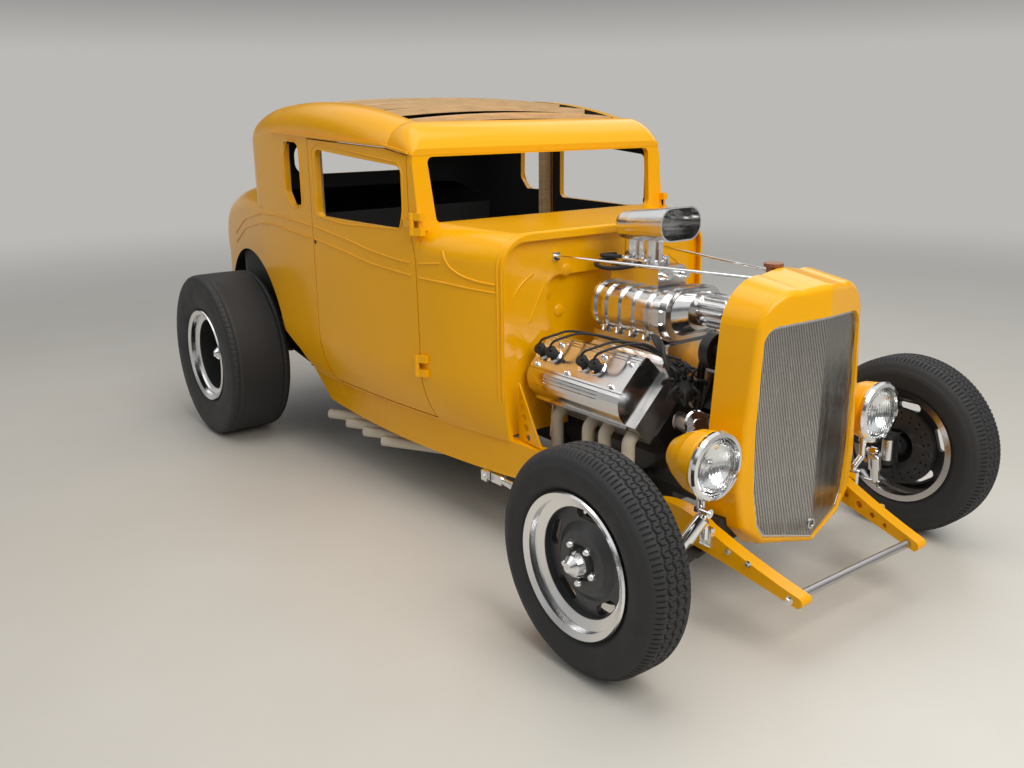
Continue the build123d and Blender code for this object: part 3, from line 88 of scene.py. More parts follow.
lens = bpy.data.cameras.new("photographer")
lens.sensor_width = 36
lens.lens = focal_pixels * lens.sensor_width / photo_width
camera = bpy.data.objects.new("photographer", lens)
camera_turn = aim_matrix(camera_yaw, camera_pitch, camera_roll).to_4x4()
camera.matrix_world = Matrix.Translation(camera_at) @ camera_turn
bpy.context.scene.collection.objects.link(camera)
bpy.context.scene.camera = camera
print("camera lens:", round(lens.lens, 2), "mm")

# %% [markdown]
# A workshop floor and a soft, even room. The room is the world's colour, which only the
# camera, mirrors and glass see at full brightness. Above the horizon it has a dark band and
# then a bright ceiling, so that chrome has both something dark and something pale to
# reflect. Four large soft lamps do the modelling.

# %% Build the floor and light the room
scene = bpy.context.scene
scene.view_settings.view_transform = "Standard"
room_colour = (0.50, 0.49, 0.47, 1)
floor_colour = (0.58, 0.54, 0.47, 1)
stain_colour = (0.70, 0.68, 0.63, 1)
soft_colour = (0.92, 0.95, 1, 1)
soft_strength = 0.34
floor_radius = 28
floor_level = -0.001
# The floor turns into the room's colour between these two distances from the car
fade_from, fade_to = 3.5, 11.0
# Places between straight down (0) and straight up (1), with the room's colour there
room_bands = [(0.0, room_colour), (0.53, room_colour), (0.58, (0.10, 0.10, 0.105, 1)),
              (0.68, (0.14, 0.14, 0.145, 1)), (0.76, (0.80, 0.80, 0.80, 1)),
              (1.0, (0.90, 0.90, 0.90, 1))]


def add_node(tree, kind, settings=None, inputs=None):
    """A new node in the tree, with its settings and the values of its inputs."""
    node = tree.nodes.new(kind)
    for name, value in (settings or {}).items():
        setattr(node, name, value)
    for name, value in (inputs or {}).items():
        node.inputs[name].default_value = value
    return node


def seen_directly(tree):
    """The output that is 1 where the camera, a mirror or a glass looks, and 0 for soft light."""
    link = tree.links.new
    ray = add_node(tree, "ShaderNodeLightPath")
    first = add_node(tree, "ShaderNodeMath", {"operation": "MAXIMUM"})
    both = add_node(tree, "ShaderNodeMath", {"operation": "MAXIMUM"})
    link(ray.outputs["Is Camera Ray"], first.inputs[0])
    link(ray.outputs["Is Glossy Ray"], first.inputs[1])
    link(first.outputs[0], both.inputs[0])
    link(ray.outputs["Is Transmission Ray"], both.inputs[1])
    return both.outputs[0]


def light_room():
    """A world that is pale to the camera and to reflections, and soft to everything else."""
    world = bpy.data.worlds.new("workshop")
    world.use_nodes = True
    tree = world.node_tree
    link = tree.links.new
    shown = tree.nodes["Background"]
    shown.inputs["Strength"].default_value = 1.0
    look = add_node(tree, "ShaderNodeTexCoord")
    parts = add_node(tree, "ShaderNodeSeparateXYZ")
    height = add_node(tree, "ShaderNodeMapRange", inputs={"From Min": -1.0, "From Max": 1.0})
    bands = add_node(tree, "ShaderNodeValToRGB")
    stops = bands.color_ramp.elements
    while len(stops) < len(room_bands):
        stops.new(0.5)
    for stop, (position, colour) in zip(stops, room_bands):
        stop.position = position
        stop.color = colour
    link(look.outputs["Generated"], parts.inputs[0])
    link(parts.outputs["Z"], height.inputs["Value"])
    link(height.outputs["Result"], bands.inputs["Fac"])
    link(bands.outputs["Color"], shown.inputs["Color"])
    soft = add_node(tree, "ShaderNodeBackground",
                    inputs={"Color": soft_colour, "Strength": soft_strength})
    mix = add_node(tree, "ShaderNodeMixShader")
    link(seen_directly(tree), mix.inputs[0])
    link(soft.outputs[0], mix.inputs[1])
    link(shown.outputs[0], mix.inputs[2])
    link(mix.outputs[0], tree.nodes["World Output"].inputs["Surface"])
    scene.world = world


def hang_lamp(name, at, target, size, power, warmth):
    """A square soft lamp that points at the target; size in metres, power in watts."""
    data = bpy.data.lights.new(name, "AREA")
    data.shape = "SQUARE"
    data.size = size
    data.energy = power
    data.color = warmth
    lamp = bpy.data.objects.new(name, data)
    lamp.location = at
    lamp.rotation_euler = (Vector(target) - Vector(at)).to_track_quat("-Z", "Y").to_euler()
    scene.collection.objects.link(lamp)


def lay_floor():
    """A broad disc of painted concrete with faint stains, which isn't part of the car."""
    bm = bmesh.new()
    bmesh.ops.create_circle(bm, cap_ends=True, segments=96, radius=floor_radius)
    mesh = bpy.data.meshes.new("floor")
    bm.to_mesh(mesh)
    bm.free()
    floor = bpy.data.objects.new("floor", mesh)
    floor.location.z = floor_level
    scene.collection.objects.link(floor)
    material = bpy.data.materials.new("painted concrete")
    material.use_nodes = True
    tree = material.node_tree
    link = tree.links.new
    shader = tree.nodes["Principled BSDF"]
    shader.inputs["Roughness"].default_value = 0.42
    place = add_node(tree, "ShaderNodeTexCoord")
    stain = add_node(tree, "ShaderNodeTexNoise",
                     inputs={"Scale": 0.7, "Detail": 8, "Roughness": 0.62})
    blend = add_node(tree, "ShaderNodeMix", {"data_type": "RGBA"})
    blend.inputs[6].default_value = floor_colour
    blend.inputs[7].default_value = stain_colour
    link(place.outputs["Object"], stain.inputs["Vector"])
    link(stain.outputs["Fac"], blend.inputs[0])
    link(blend.outputs[2], shader.inputs["Base Color"])
    reach = add_node(tree, "ShaderNodeVectorMath", {"operation": "LENGTH"})
    fade = add_node(tree, "ShaderNodeMapRange", {"interpolation_type": "SMOOTHSTEP"},
                    {"From Min": fade_from, "From Max": fade_to})
    shown = add_node(tree, "ShaderNodeMath", {"operation": "MULTIPLY"})
    glow = add_node(tree, "ShaderNodeEmission", inputs={"Color": room_colour, "Strength": 1.0})
    mix = add_node(tree, "ShaderNodeMixShader")
    link(place.outputs["Object"], reach.inputs[0])
    link(reach.outputs["Value"], fade.inputs["Value"])
    link(fade.outputs["Result"], shown.inputs[0])
    link(seen_directly(tree), shown.inputs[1])
    link(shown.outputs[0], mix.inputs[0])
    link(shader.outputs[0], mix.inputs[1])
    link(glow.outputs[0], mix.inputs[2])
    link(mix.outputs[0], tree.nodes["Material Output"].inputs["Surface"])
    mesh.materials.append(material)


light_room()
lay_floor()
hang_lamp("window lamp", (-2.5, -4.5, 4.6), (0, 0, 0.6), 4.0, 34, (1, 0.98, 0.94))
hang_lamp("nose lamp", (4.8, -0.6, 4.0), (0.6, 0, 0.5), 3.0, 150, (1, 0.97, 0.92))
hang_lamp("back lamp", (-1.0, 4.5, 4.5), (0, 0, 0.6), 4.0, 60, (0.95, 0.98, 1))
hang_lamp("ceiling lamp", (0.9, -0.3, 5.2), (0.6, 0, 0), 4.0, 105, (1, 0.98, 0.95))
print("room lit by four lamps and a pale world")

# %% [markdown]
# A finish is never one flat value. Paint has a little orange peel, polished metal has fine
# scratches and fingerprints, rubber is dusty. So one helper builds them all: the colour and
# the roughness drift with a soft noise, and a finer noise bumps the surface. The numbers
# that stay the same all over, such as the clear coat, sit on the shader's own sockets.

# %% Make the finishes


def make_finish(name, colour, roughness, metallic=0.0, drift=0.06, patch=6.0, smear=0.05,
                grain=400.0, bump=0.03, coat=0.0, specular=0.5, stretch=(1, 1, 1)):
    """A procedural finish; patch and grain are the scales of the drift and of the bump."""
    material = bpy.data.materials.new(name)
    material.use_nodes = True
    tree = material.node_tree
    link = tree.links.new
    shader = tree.nodes["Principled BSDF"]
    shader.inputs["Metallic"].default_value = metallic
    shader.inputs["Coat Weight"].default_value = coat
    shader.inputs["Coat Roughness"].default_value = 0.04
    shader.inputs["Specular IOR Level"].default_value = specular
    place = add_node(tree, "ShaderNodeTexCoord")
    scaled = add_node(tree, "ShaderNodeMapping", inputs={"Scale": stretch})
    broad = add_node(tree, "ShaderNodeTexNoise",
                     inputs={"Scale": patch, "Detail": 5, "Roughness": 0.6})
    fine = add_node(tree, "ShaderNodeTexNoise", inputs={"Scale": grain, "Detail": 3})
    tint = add_node(tree, "ShaderNodeMix", {"data_type": "RGBA"})
    tint.inputs[6].default_value = tuple(c * (1 - drift) for c in colour) + (1,)
    tint.inputs[7].default_value = tuple(min(c * (1 + drift), 1) for c in colour) + (1,)
    gloss = add_node(tree, "ShaderNodeMapRange", inputs={"From Min": 0.3, "From Max": 0.7})
    gloss.inputs["To Min"].default_value = max(roughness - smear, 0.02)
    gloss.inputs["To Max"].default_value = roughness + smear
    relief = add_node(tree, "ShaderNodeBump", inputs={"Strength": bump, "Distance": 0.001})
    link(place.outputs["Object"], scaled.inputs["Vector"])
    link(scaled.outputs["Vector"], broad.inputs["Vector"])
    link(scaled.outputs["Vector"], fine.inputs["Vector"])
    link(broad.outputs["Fac"], tint.inputs[0])
    link(broad.outputs["Fac"], gloss.inputs["Value"])
    link(fine.outputs["Fac"], relief.inputs["Height"])
    link(tint.outputs[2], shader.inputs["Base Color"])
    link(gloss.outputs["Result"], shader.inputs["Roughness"])
    link(relief.outputs["Normal"], shader.inputs["Normal"])
    return material


body_yellow = {"colour": (0.93, 0.435, 0.0), "roughness": 0.20, "drift": 0.03, "patch": 2,
               "grain": 90, "bump": 0.02, "specular": 0.32}
finishes = {
    "yellow_paint": make_finish("yellow gloss paint", **body_yellow),
    "frame_paint": make_finish("yellow frame paint", (0.90, 0.415, 0.0), 0.24, drift=0.04,
                               patch=4, grain=120, bump=0.03, specular=0.32),
    "black_paint": make_finish("black liner", (0.016, 0.016, 0.017), 0.62, drift=0.25,
                               grain=260, bump=0.25),
    "polished_axle": make_finish("polished axle", (0.74, 0.74, 0.75), 0.16, 1.0, smear=0.07,
                                 grain=500),
    "brushed_tube": make_finish("brushed steel tube", (0.50, 0.49, 0.48), 0.34, 1.0,
                                smear=0.08, grain=90, bump=0.12, stretch=(12, 0.6, 12)),
    "stainless_bars": make_finish("stainless bars", (0.66, 0.65, 0.63), 0.24, 1.0,
                                  smear=0.06, grain=300, stretch=(6, 6, 0.5)),
    "chrome": make_finish("chrome plate", (0.86, 0.87, 0.88), 0.06, 1.0, drift=0.02,
                          smear=0.03, bump=0.008),
    "polished_alloy": make_finish("polished alloy", (0.72, 0.72, 0.72), 0.19, 1.0, drift=0.05,
                                  patch=14, smear=0.08, grain=700, bump=0.04),
    "cast_alloy": make_finish("cast alloy", (0.42, 0.42, 0.42), 0.48, 1.0, drift=0.14,
                              patch=20, smear=0.1, grain=520, bump=0.35),
    "cast_iron": make_finish("black block enamel", (0.018, 0.018, 0.019), 0.40, drift=0.3,
                             patch=12, grain=420, bump=0.30, coat=0.3),
    "copper": make_finish("aged copper neck", (0.36, 0.15, 0.075), 0.42, 0.8, drift=0.3,
                          patch=30, bump=0.2),
    "black_anodised": make_finish("black anodised pulley", (0.02, 0.02, 0.022), 0.36, 0.4,
                                  drift=0.2, grain=300),
    "belt_rubber": make_finish("belt rubber", (0.014, 0.014, 0.014), 0.66, drift=0.2,
                               grain=350, bump=0.2),
    "scoop_finish": make_finish("polished scoop", (0.78, 0.78, 0.78), 0.20, 1.0, drift=0.05,
                                patch=12, smear=0.09, grain=600, bump=0.05),
    "pipe_coating": make_finish("cream pipe coating", (0.60, 0.55, 0.44), 0.50, drift=0.1,
                                patch=14, grain=420, bump=0.12),
    "grey_wheel": make_finish("grey cast wheel", (0.055, 0.056, 0.058), 0.40, 0.6, drift=0.15,
                              patch=16, grain=600, bump=0.2),
    "polished_wheel": make_finish("polished rim", (0.80, 0.80, 0.81), 0.12, 1.0, drift=0.04,
                                  smear=0.06, grain=500),
    "front_tyre": make_finish("front tyre rubber", (0.022, 0.022, 0.023), 0.72, drift=0.35,
                              patch=18, smear=0.1, grain=500, bump=0.2),
    "rear_tyre": make_finish("rear tyre rubber", (0.018, 0.018, 0.019), 0.60, drift=0.3,
                             patch=9, smear=0.1, grain=420, bump=0.15),
    "wood": make_finish("oiled ash", (0.72, 0.49, 0.26), 0.55, drift=0.35, patch=22,
                        grain=160, bump=0.25, stretch=(0.5, 0.5, 4)),
}
print("finishes:", len(finishes))


# %% Make the clear lens
def make_lens_glass():
    """Clear pressed glass: upright flutes bend what is seen through it."""
    material = bpy.data.materials.new("lens glass")
    material.use_nodes = True
    tree = material.node_tree
    link = tree.links.new
    shader = tree.nodes["Principled BSDF"]
    shader.inputs["Transmission Weight"].default_value = 1.0
    shader.inputs["Roughness"].default_value = 0.02
    shader.inputs["IOR"].default_value = 1.46
    shader.inputs["Base Color"].default_value = (0.97, 0.98, 0.98, 1)
    place = add_node(tree, "ShaderNodeTexCoord")
    flutes = add_node(tree, "ShaderNodeTexWave", {"bands_direction": "Y"},
                      {"Scale": 26, "Distortion": 0.4, "Detail": 1})
    relief = add_node(tree, "ShaderNodeBump", inputs={"Strength": 0.22, "Distance": 0.0012})
    link(place.outputs["Object"], flutes.inputs["Vector"])
    link(flutes.outputs["Fac"], relief.inputs["Height"])
    link(relief.outputs["Normal"], shader.inputs["Normal"])
    return material


finishes["clear_glass"] = make_lens_glass()
print("lens glass made")

# %% [markdown]
# The record already says which finish each part of the frame takes, so the dressing is one
# loop over its rows. Two kinds of part are exceptions. The cab's panels are yellow outside
# and lined in black inside. A wheel carries both a dark painted centre and a polished rim.
# There the material itself asks where a point lies and which way it faces, and blends from
# one finish to the other.

# %% Dress the frame


def dress(node_name, material):
    """The node's object wears this material in its only slot."""
    piece = nodes[node_name]
    piece.data.materials.clear()
    piece.data.materials.append(material)


for row in frame["record"]["subparts"]:
    dress(row["node"], finishes[row["material_slot"]])


# %% Blend two finishes on one piece
def blend_to(tree, share, colour, roughness):
    """Where the share is 1, the finish takes this colour and roughness instead of its own."""
    link = tree.links.new
    shader = tree.nodes["Principled BSDF"]
    for socket, value, kind in (("Base Color", colour, "RGBA"), ("Roughness", roughness, "FLOAT")):
        before = shader.inputs[socket].links[0].from_socket
        blend = add_node(tree, "ShaderNodeMix", {"data_type": kind})
        first, second, result = (6, 7, 2) if kind == "RGBA" else (2, 3, 0)
        link(share, blend.inputs[0])
        link(before, blend.inputs[first])
        blend.inputs[second].default_value = value
        link(blend.outputs[result], shader.inputs[socket])


def compare(tree, source, operation, limit):
    """The output that is 1 where the source is above or below the limit."""
    test = add_node(tree, "ShaderNodeMath", {"operation": operation})
    tree.links.new(source, test.inputs[0])
    test.inputs[1].default_value = limit
    return test.outputs[0]


def join(tree, operation, first, second):
    """The output that combines two others."""
    node = add_node(tree, "ShaderNodeMath", {"operation": operation})
    tree.links.new(first, node.inputs[0])
    tree.links.new(second, node.inputs[1])
    return node.outputs[0]


cab_panels = ("roof", "rear_body", "deck_lid", "door_left", "door_right")
ceiling_height = 1.36
rear_wall_x = -0.87
liner_colour = (0.012, 0.012, 0.013, 1)
liner_roughness = 0.85


def line_inside(material):
    """The faces that look into the cab wear a black liner: its sides, ceiling and rear."""
    tree = material.node_tree
    link = tree.links.new
    place = add_node(tree, "ShaderNodeTexCoord")
    at = add_node(tree, "ShaderNodeSeparateXYZ")
    facing = add_node(tree, "ShaderNodeSeparateXYZ")
    link(place.outputs["Object"], at.inputs[0])
    link(place.outputs["Normal"], facing.inputs[0])
    which_side = add_node(tree, "ShaderNodeMath", {"operation": "SIGN"})
    link(at.outputs["Y"], which_side.inputs[0])
    inward = join(tree, "MULTIPLY", facing.outputs["Y"], which_side.outputs[0])
    sides = compare(tree, inward, "LESS_THAN", -0.55)
    downward = compare(tree, facing.outputs["Z"], "LESS_THAN", -0.55)
    high = compare(tree, at.outputs["Z"], "GREATER_THAN", ceiling_height)
    forward = compare(tree, facing.outputs["X"], "GREATER_THAN", 0.30)
    behind = compare(tree, at.outputs["X"], "LESS_THAN", rear_wall_x)
    top = join(tree, "MULTIPLY", downward, high)
    rear = join(tree, "MULTIPLY", join(tree, "MAXIMUM", forward, downward), behind)
    lined = join(tree, "MAXIMUM", sides, join(tree, "MAXIMUM", top, rear))
    blend_to(tree, lined, liner_colour, liner_roughness)


for name in cab_panels:
    panel_finish = make_finish(f"{name} paint and liner", **body_yellow)
    line_inside(panel_finish)
    dress(name, panel_finish)
print("cab lined in black")

# %% Give the wheels two tones
wheel_nose_radius = 0.037
rim_edge_blur = 0.0005
rim_colour = (0.80, 0.80, 0.81, 1)
rim_roughness = 0.13
# Radius of each wheel's painted centre, and its colour
wheel_centres = (("front", 0.1575, (0.050, 0.051, 0.053)), ("rear", 0.170, (0.026, 0.026, 0.027)))


def ring_finish(material, axle, edge_radius):
    """Beyond edge_radius from the axle, and on the nose, the finish turns to bright metal."""
    tree = material.node_tree
    link = tree.links.new
    shader = tree.nodes["Principled BSDF"]
    place = add_node(tree, "ShaderNodeTexCoord")
    offset = add_node(tree, "ShaderNodeVectorMath", {"operation": "SUBTRACT"})
    offset.inputs[1].default_value = axle
    flat = add_node(tree, "ShaderNodeVectorMath", {"operation": "MULTIPLY"})
    flat.inputs[1].default_value = (1, 0, 1)
    reach = add_node(tree, "ShaderNodeVectorMath", {"operation": "LENGTH"})
    step = add_node(tree, "ShaderNodeMapRange", inputs={"From Min": edge_radius - rim_edge_blur,
                                                        "From Max": edge_radius + rim_edge_blur})
    link(place.outputs["Object"], offset.inputs[0])
    link(offset.outputs["Vector"], flat.inputs[0])
    link(flat.outputs["Vector"], reach.inputs[0])
    link(reach.outputs["Value"], step.inputs["Value"])
    nose = compare(tree, reach.outputs["Value"], "LESS_THAN", wheel_nose_radius)
    bright = join(tree, "MAXIMUM", step.outputs["Result"], nose)
    blend_to(tree, bright, rim_colour, rim_roughness)
    link(bright, shader.inputs["Metallic"])


for side in ("left", "right"):
    for end, well_radius, centre_colour in wheel_centres:
        name = f"{end}_wheel_{side}"
        low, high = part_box(name)
        casting = make_finish(f"{end} {side} wheel casting", centre_colour, 0.40, drift=0.15,
                              patch=16, grain=600, bump=0.15)
        ring_finish(casting, (low + high) / 2, well_radius)
        dress(name, casting)
print("four wheels in two tones")

# %% [markdown]
# Most small metal on a car is turned: bolt heads, nuts, studs, caps, rings and bowls. One
# helper turns a profile, a list of (distance along the axis, radius) points, about any axis.
# With six sides it makes a hexagon, with many a round. Pieces of one finish on one body are
# gathered into a single mesh, so a hundred bolts cost one object.

# %% Turn small parts


def turn_profile(bm, at, axis, profile, sides=24):
    """Adds one turned solid to the mesh being built."""
    axis = Vector(axis).normalized()
    across = axis.orthogonal().normalized()
    other = axis.cross(across)
    rings = []
    for along, radius in profile:
        ring = []
        for n in range(sides):
            angle = 2 * math.pi * n / sides
            spoke = math.cos(angle) * across + math.sin(angle) * other
            ring.append(bm.verts.new(Vector(at) + axis * along + spoke * max(radius, 0.0001)))
        rings.append(ring)
    for ring, after in zip(rings, rings[1:]):
        for n in range(sides):
            bm.faces.new((ring[n], ring[(n + 1) % sides], after[(n + 1) % sides], after[n]))
    bm.faces.new(list(reversed(rings[0])))
    bm.faces.new(rings[-1])


def hex_bolt(bm, at, axis, size):
    """A washer and a hexagon head, size wide, standing on the surface at that place."""
    turn_profile(bm, at, axis, [(0, size * 0.66), (size * 0.1, size * 0.66)], 20)
    turn_profile(bm, at, axis, [(size * 0.1, size * 0.5), (size * 0.5, size * 0.5),
                                (size * 0.58, size * 0.42)], 6)


def dome_nut(bm, at, axis, size):
    """A chromed acorn nut."""
    turn_profile(bm, at, axis, [(0, size * 0.55), (size * 0.35, size * 0.55)], 6)
    turn_profile(bm, at, axis, [(size * 0.35, size * 0.5), (size * 0.6, size * 0.45),
                                (size * 0.8, size * 0.3), (size * 0.88, 0)], 16)


def place_piece(data, name, slot, body):
    """Links the piece into the scene, gives it the slot's finish and hangs it on its body."""
    piece = bpy.data.objects.new(name, data)
    data.materials.append(finishes[slot])
    scene.collection.objects.link(piece)
    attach(piece, body)
    return piece


def close_piece(bm, name, slot, body, crease=32):
    """Turns the mesh being built into a piece that wears a slot's finish and rides on a body."""
    mesh = bpy.data.meshes.new(name)
    bmesh.ops.recalc_face_normals(bm, faces=bm.faces)
    bm.to_mesh(mesh)
    bm.free()
    mesh.shade_smooth()
    mesh.set_sharp_from_angle(angle=math.radians(crease))
    place_piece(mesh, name, slot, body)


print("small parts can be turned")

# %% [markdown]
# A tyre is one long grid wrapped round the axle: its rows follow the section from bead to
# bead and its columns go round. The tread is not modelled block by block. A function says
# how deep the rubber is cut at each point of the crown, and the grid is fine enough to
# follow it: zigzag grooves and short cross cuts at the front, a slick with two thin grooves
# and cuts across its shoulders at the rear.


# %% Shape the tyres
def smooth_through(points, count):
    """Points spread evenly along a smooth curve through the given (y, radius) points."""
    points = np.array(points, float)
    ends = np.vstack([2 * points[0] - points[1], points, 2 * points[-1] - points[-2]])
    fine = []
    for before, start, end, after in zip(ends, ends[1:], ends[2:], ends[3:]):
        for t in np.linspace(0, 1, 24, endpoint=False):
            fine.append(0.5 * (2 * start + (end - before) * t
                               + (2 * before - 5 * start + 4 * end - after) * t ** 2
                               + (3 * start - before - 3 * end + after) * t ** 3))
    fine.append(points[-1])
    fine = np.array(fine)
    run = np.concatenate([[0], np.cumsum(np.linalg.norm(np.diff(fine, axis=0), axis=1))])
    spots = np.linspace(0, run[-1], count)
    return np.column_stack([np.interp(spots, run, fine[:, 0]), np.interp(spots, run, fine[:, 1])])


def zigzag(turns):
    """A wave of straight runs between -1 and 1."""
    return 2 * np.abs(2 * (turns % 1) - 1) - 1


def cross_cuts(turns, half_width):
    """Where short cuts run across the tread: one in the middle of each turn."""
    return np.abs(turns % 1 - 0.5) < half_width


def front_cut(y, turn, pitches=64, deepest=0.0065):
    """Depth of the front tread's cuts: three zigzag grooves, and short cross cuts beside them."""
    sway = 0.0046 * zigzag(turn * pitches)
    cut = np.zeros_like(turn + y)
    for groove in (-0.027, 0.0, 0.027):
        cut = np.maximum(cut, np.abs(y - groove - sway) < 0.0027)
    outer = cross_cuts(turn * pitches * 2, 0.09) & (np.abs(np.abs(y) - 0.052) < 0.010)
    middle = cross_cuts(turn * pitches * 2 + 0.5, 0.09) & (np.abs(np.abs(y) - 0.0135) < 0.0065)
    return np.maximum(cut, np.maximum(outer * 0.9, middle * 0.7)) * deepest


def rear_cut(y, turn, pitches=90, deepest=0.004):
    """Depth of the rear tread's cuts: fine cuts across its shoulders and two thin grooves."""
    shoulders = cross_cuts(turn * pitches, 0.12) & (np.abs(y) > 0.114)
    grooves = np.abs(np.abs(y) - 0.108) < 0.0024
    return np.maximum(shoulders * 0.6, grooves * 1.0) * deepest


def wrap_tyre(name, node, body, slot, bead_half, rim_radius, collar, shoulder, tread_half, cut,
              columns, rows):
    """Builds a tyre that fills its node's box and stands for that node."""
    low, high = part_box(node)
    centre = (low + high) / 2
    radius = (high.z - low.z) / 2
    half = (high.y - low.y) / 2
    wall = radius - collar
    side = [(bead_half - 0.004, rim_radius + 0.002), (bead_half, collar - 0.002),
            (bead_half + 0.62 * (half - bead_half), collar + 0.16 * wall),
            (half - 0.0008, collar + 0.48 * wall),
            ((half + shoulder[0]) / 2 + 0.0015, (collar + 0.5 * wall + shoulder[1]) / 2), shoulder,
            (tread_half, radius - 0.0024), (0.55 * tread_half, radius - 0.0008), (0, radius)]
    section = [(-y, r) for y, r in side] + [(y, r) for y, r in reversed(side[:-1])]
    section = smooth_through(section, rows)
    turn = np.linspace(0, 1, columns, endpoint=False)[None, :]
    y = section[:, 0][:, None]
    reach = section[:, 1][:, None]
    crown = np.clip((reach - (radius - 0.16 * wall)) / (0.06 * wall), 0, 1)
    rib = 0.0012 * (np.abs(reach - collar - 0.10 * wall) < 0.02 * wall)
    rib = rib + 0.0010 * (np.abs(reach - collar - 0.62 * wall) < 0.012 * wall)
    depth = cut(y, turn) * crown
    angle = 2 * np.pi * turn
    outward = np.clip(np.abs(y) / half, 0, 1) * np.sign(y) * rib
    grid = np.stack([centre.x + (reach - depth) * np.cos(angle),
                     centre.y + np.clip(y + outward, -half, half) + 0 * turn,
                     centre.z + (reach - depth) * np.sin(angle)], axis=-1)
    index = np.arange(rows * columns).reshape(rows, columns)
    around = np.roll(index, -1, axis=1)
    quads = np.stack([index, around, np.roll(around, -1, axis=0), np.roll(index, -1, axis=0)],
                     axis=-1)
    mesh = bpy.data.meshes.new(name)
    mesh.from_pydata(grid.reshape(-1, 3).tolist(), [], quads.reshape(-1, 4).tolist())
    mesh.shade_smooth()
    mesh.set_sharp_from_angle(angle=math.radians(38))
    tyre = place_piece(mesh, name, slot, body)
    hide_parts(node)


for side in ("right", "left"):
    wrap_tyre(f"front_tread_{side}", f"front_tyre_{side}", f"front_wheel_{side}", "front_tyre",
              bead_half=0.060, rim_radius=0.1905, collar=0.210, shoulder=(0.066, 0.304),
              tread_half=0.046, cut=front_cut, columns=896, rows=96)
    wrap_tyre(f"rear_tread_{side}", f"rear_tyre_{side}", f"rear_wheel_{side}", "rear_tyre",
              bead_half=0.123, rim_radius=0.203, collar=0.2225, shoulder=(0.139, 0.371),
              tread_half=0.120, cut=rear_cut, columns=720, rows=80)
print("four tyres wrapped")

# %% [markdown]
# A wheel is held by five nuts between its windows and has a valve in its rim. They turn
# with the wheel, so they ride on the wheel's body. A ray finds the surface they stand on.

# %% Fit nuts and valves
bolt_circle = 0.057
nut_size = 0.023
# Degrees round the axle: the nuts lie between the windows
nut_angles = (126, 198, 270, 342, 54)
valve_angle = math.radians(75)
valve_inset = 0.03
valve_profile = [(0, 0.004), (0.012, 0.004), (0.012, 0.005), (0.02, 0.005)]
panel_trees = {}


def surface_point(node, origin, heading):
    """Where a ray first meets a node's surface, or nothing."""
    if node not in panel_trees:
        panel_trees[node] = BVHTree.FromObject(nodes[node], bpy.context.evaluated_depsgraph_get())
    return panel_trees[node].ray_cast(Vector(origin), Vector(heading).normalized())[0]


for sign, side in both_sides:
    for end in ("front", "rear"):
        node = f"{end}_wheel_{side}"
        low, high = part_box(node)
        centre = (low + high) / 2
        bright = bmesh.new()
        for degrees in nut_angles:
            angle = math.radians(degrees)
            x = centre.x + bolt_circle * math.cos(angle)
            z = centre.z + bolt_circle * math.sin(angle)
            face = surface_point(node, (x, sign * 1.0, z), (0, -sign, 0))
            if face:
                dome_nut(bright, face, (0, sign, 0), nut_size)
        reach = (high.z - low.z) / 2 - valve_inset
        at = (centre.x + reach * math.cos(valve_angle), sign * (abs(centre.y) + 0.035),
              centre.z + reach * math.sin(valve_angle))
        turn_profile(bright, at, (0, sign, 0), valve_profile, 12)
        close_piece(bright, f"{end}_wheel_nuts_{side}", "chrome", node)
print("nuts and valves fitted")

# %% [markdown]
# Each headlamp is a bucket, a chrome ring and a lens. Behind the lens sits a bright bowl
# with a small bulb in its middle. The bowl is what makes the lamp look deep.

# %% Put bowls and bulbs in the lamps
low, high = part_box("lamp_lenses")
lamp_height = (low.z + high.z) / 2
lamp_across = high.y - (high.z - low.z) / 2
lens_back = low.x - 0.002
skin_back, skin_out = -0.0025, 0.0015
bowl_curve = [(-0.001, 0.0835), (-0.010, 0.0800), (-0.024, 0.0700), (-0.037, 0.0540),
              (-0.046, 0.0340), (-0.050, 0.0140), (-0.050, 0.0)]
bulb_curve = [(-0.050, 0.008), (-0.030, 0.008), (-0.026, 0.012), (-0.018, 0.012),
              (-0.014, 0.007), (-0.013, 0)]
collar_curve = [(-0.030, 0.014), (-0.028, 0.016), (-0.022, 0.016), (-0.020, 0.013)]
bowls = bmesh.new()
bulbs = bmesh.new()
for sign in (-1, 1):
    at = (lens_back, sign * lamp_across, lamp_height)
    outer = [(along + skin_back, radius + skin_out) for along, radius in reversed(bowl_curve)]
    turn_profile(bowls, at, to_front, outer + bowl_curve, 56)
    turn_profile(bulbs, at, to_front, bulb_curve, 20)
    turn_profile(bulbs, at, to_front, collar_curve, 20)
close_piece(bowls, "lamp_bowls", "chrome", "chassis", crease=60)
close_piece(bulbs, "lamp_bulbs", "polished_alloy", "chassis")
print("lamps filled")

# %% [markdown]
# The engine's two banks lean 45 degrees either side of the crank. A place on a bank is given
# the way a mechanic would say it: how far across the cover, how far up from the crank, and
# at which distance behind the front axle.

# %% Find places on the banks
axle_station = (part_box("front_tyre_right")[0].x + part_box("front_tyre_right")[1].x) / 2
crank_height = 0.360
cover_top = 0.470
root_two = math.sqrt(2)


def station(distance):
    """The X of a place that lies this far behind the front axle."""
    return axle_station - distance


def on_bank(side, across, up, distance):
    """A point of one bank; side is -1 for the car's right and 1 for its left."""
    return Vector((station(distance), side * (up + across) / root_two,
                   crank_height + (up - across) / root_two))


def bank_up(side):
    """The direction away from the crank along a bank."""
    return Vector((0, side / root_two, 1 / root_two))


print("cover top stands", cover_top, "m from the crank")

# %% Add cover studs, plug wells and boots
plug_stations = (0.744, 0.684, 0.524, 0.462)
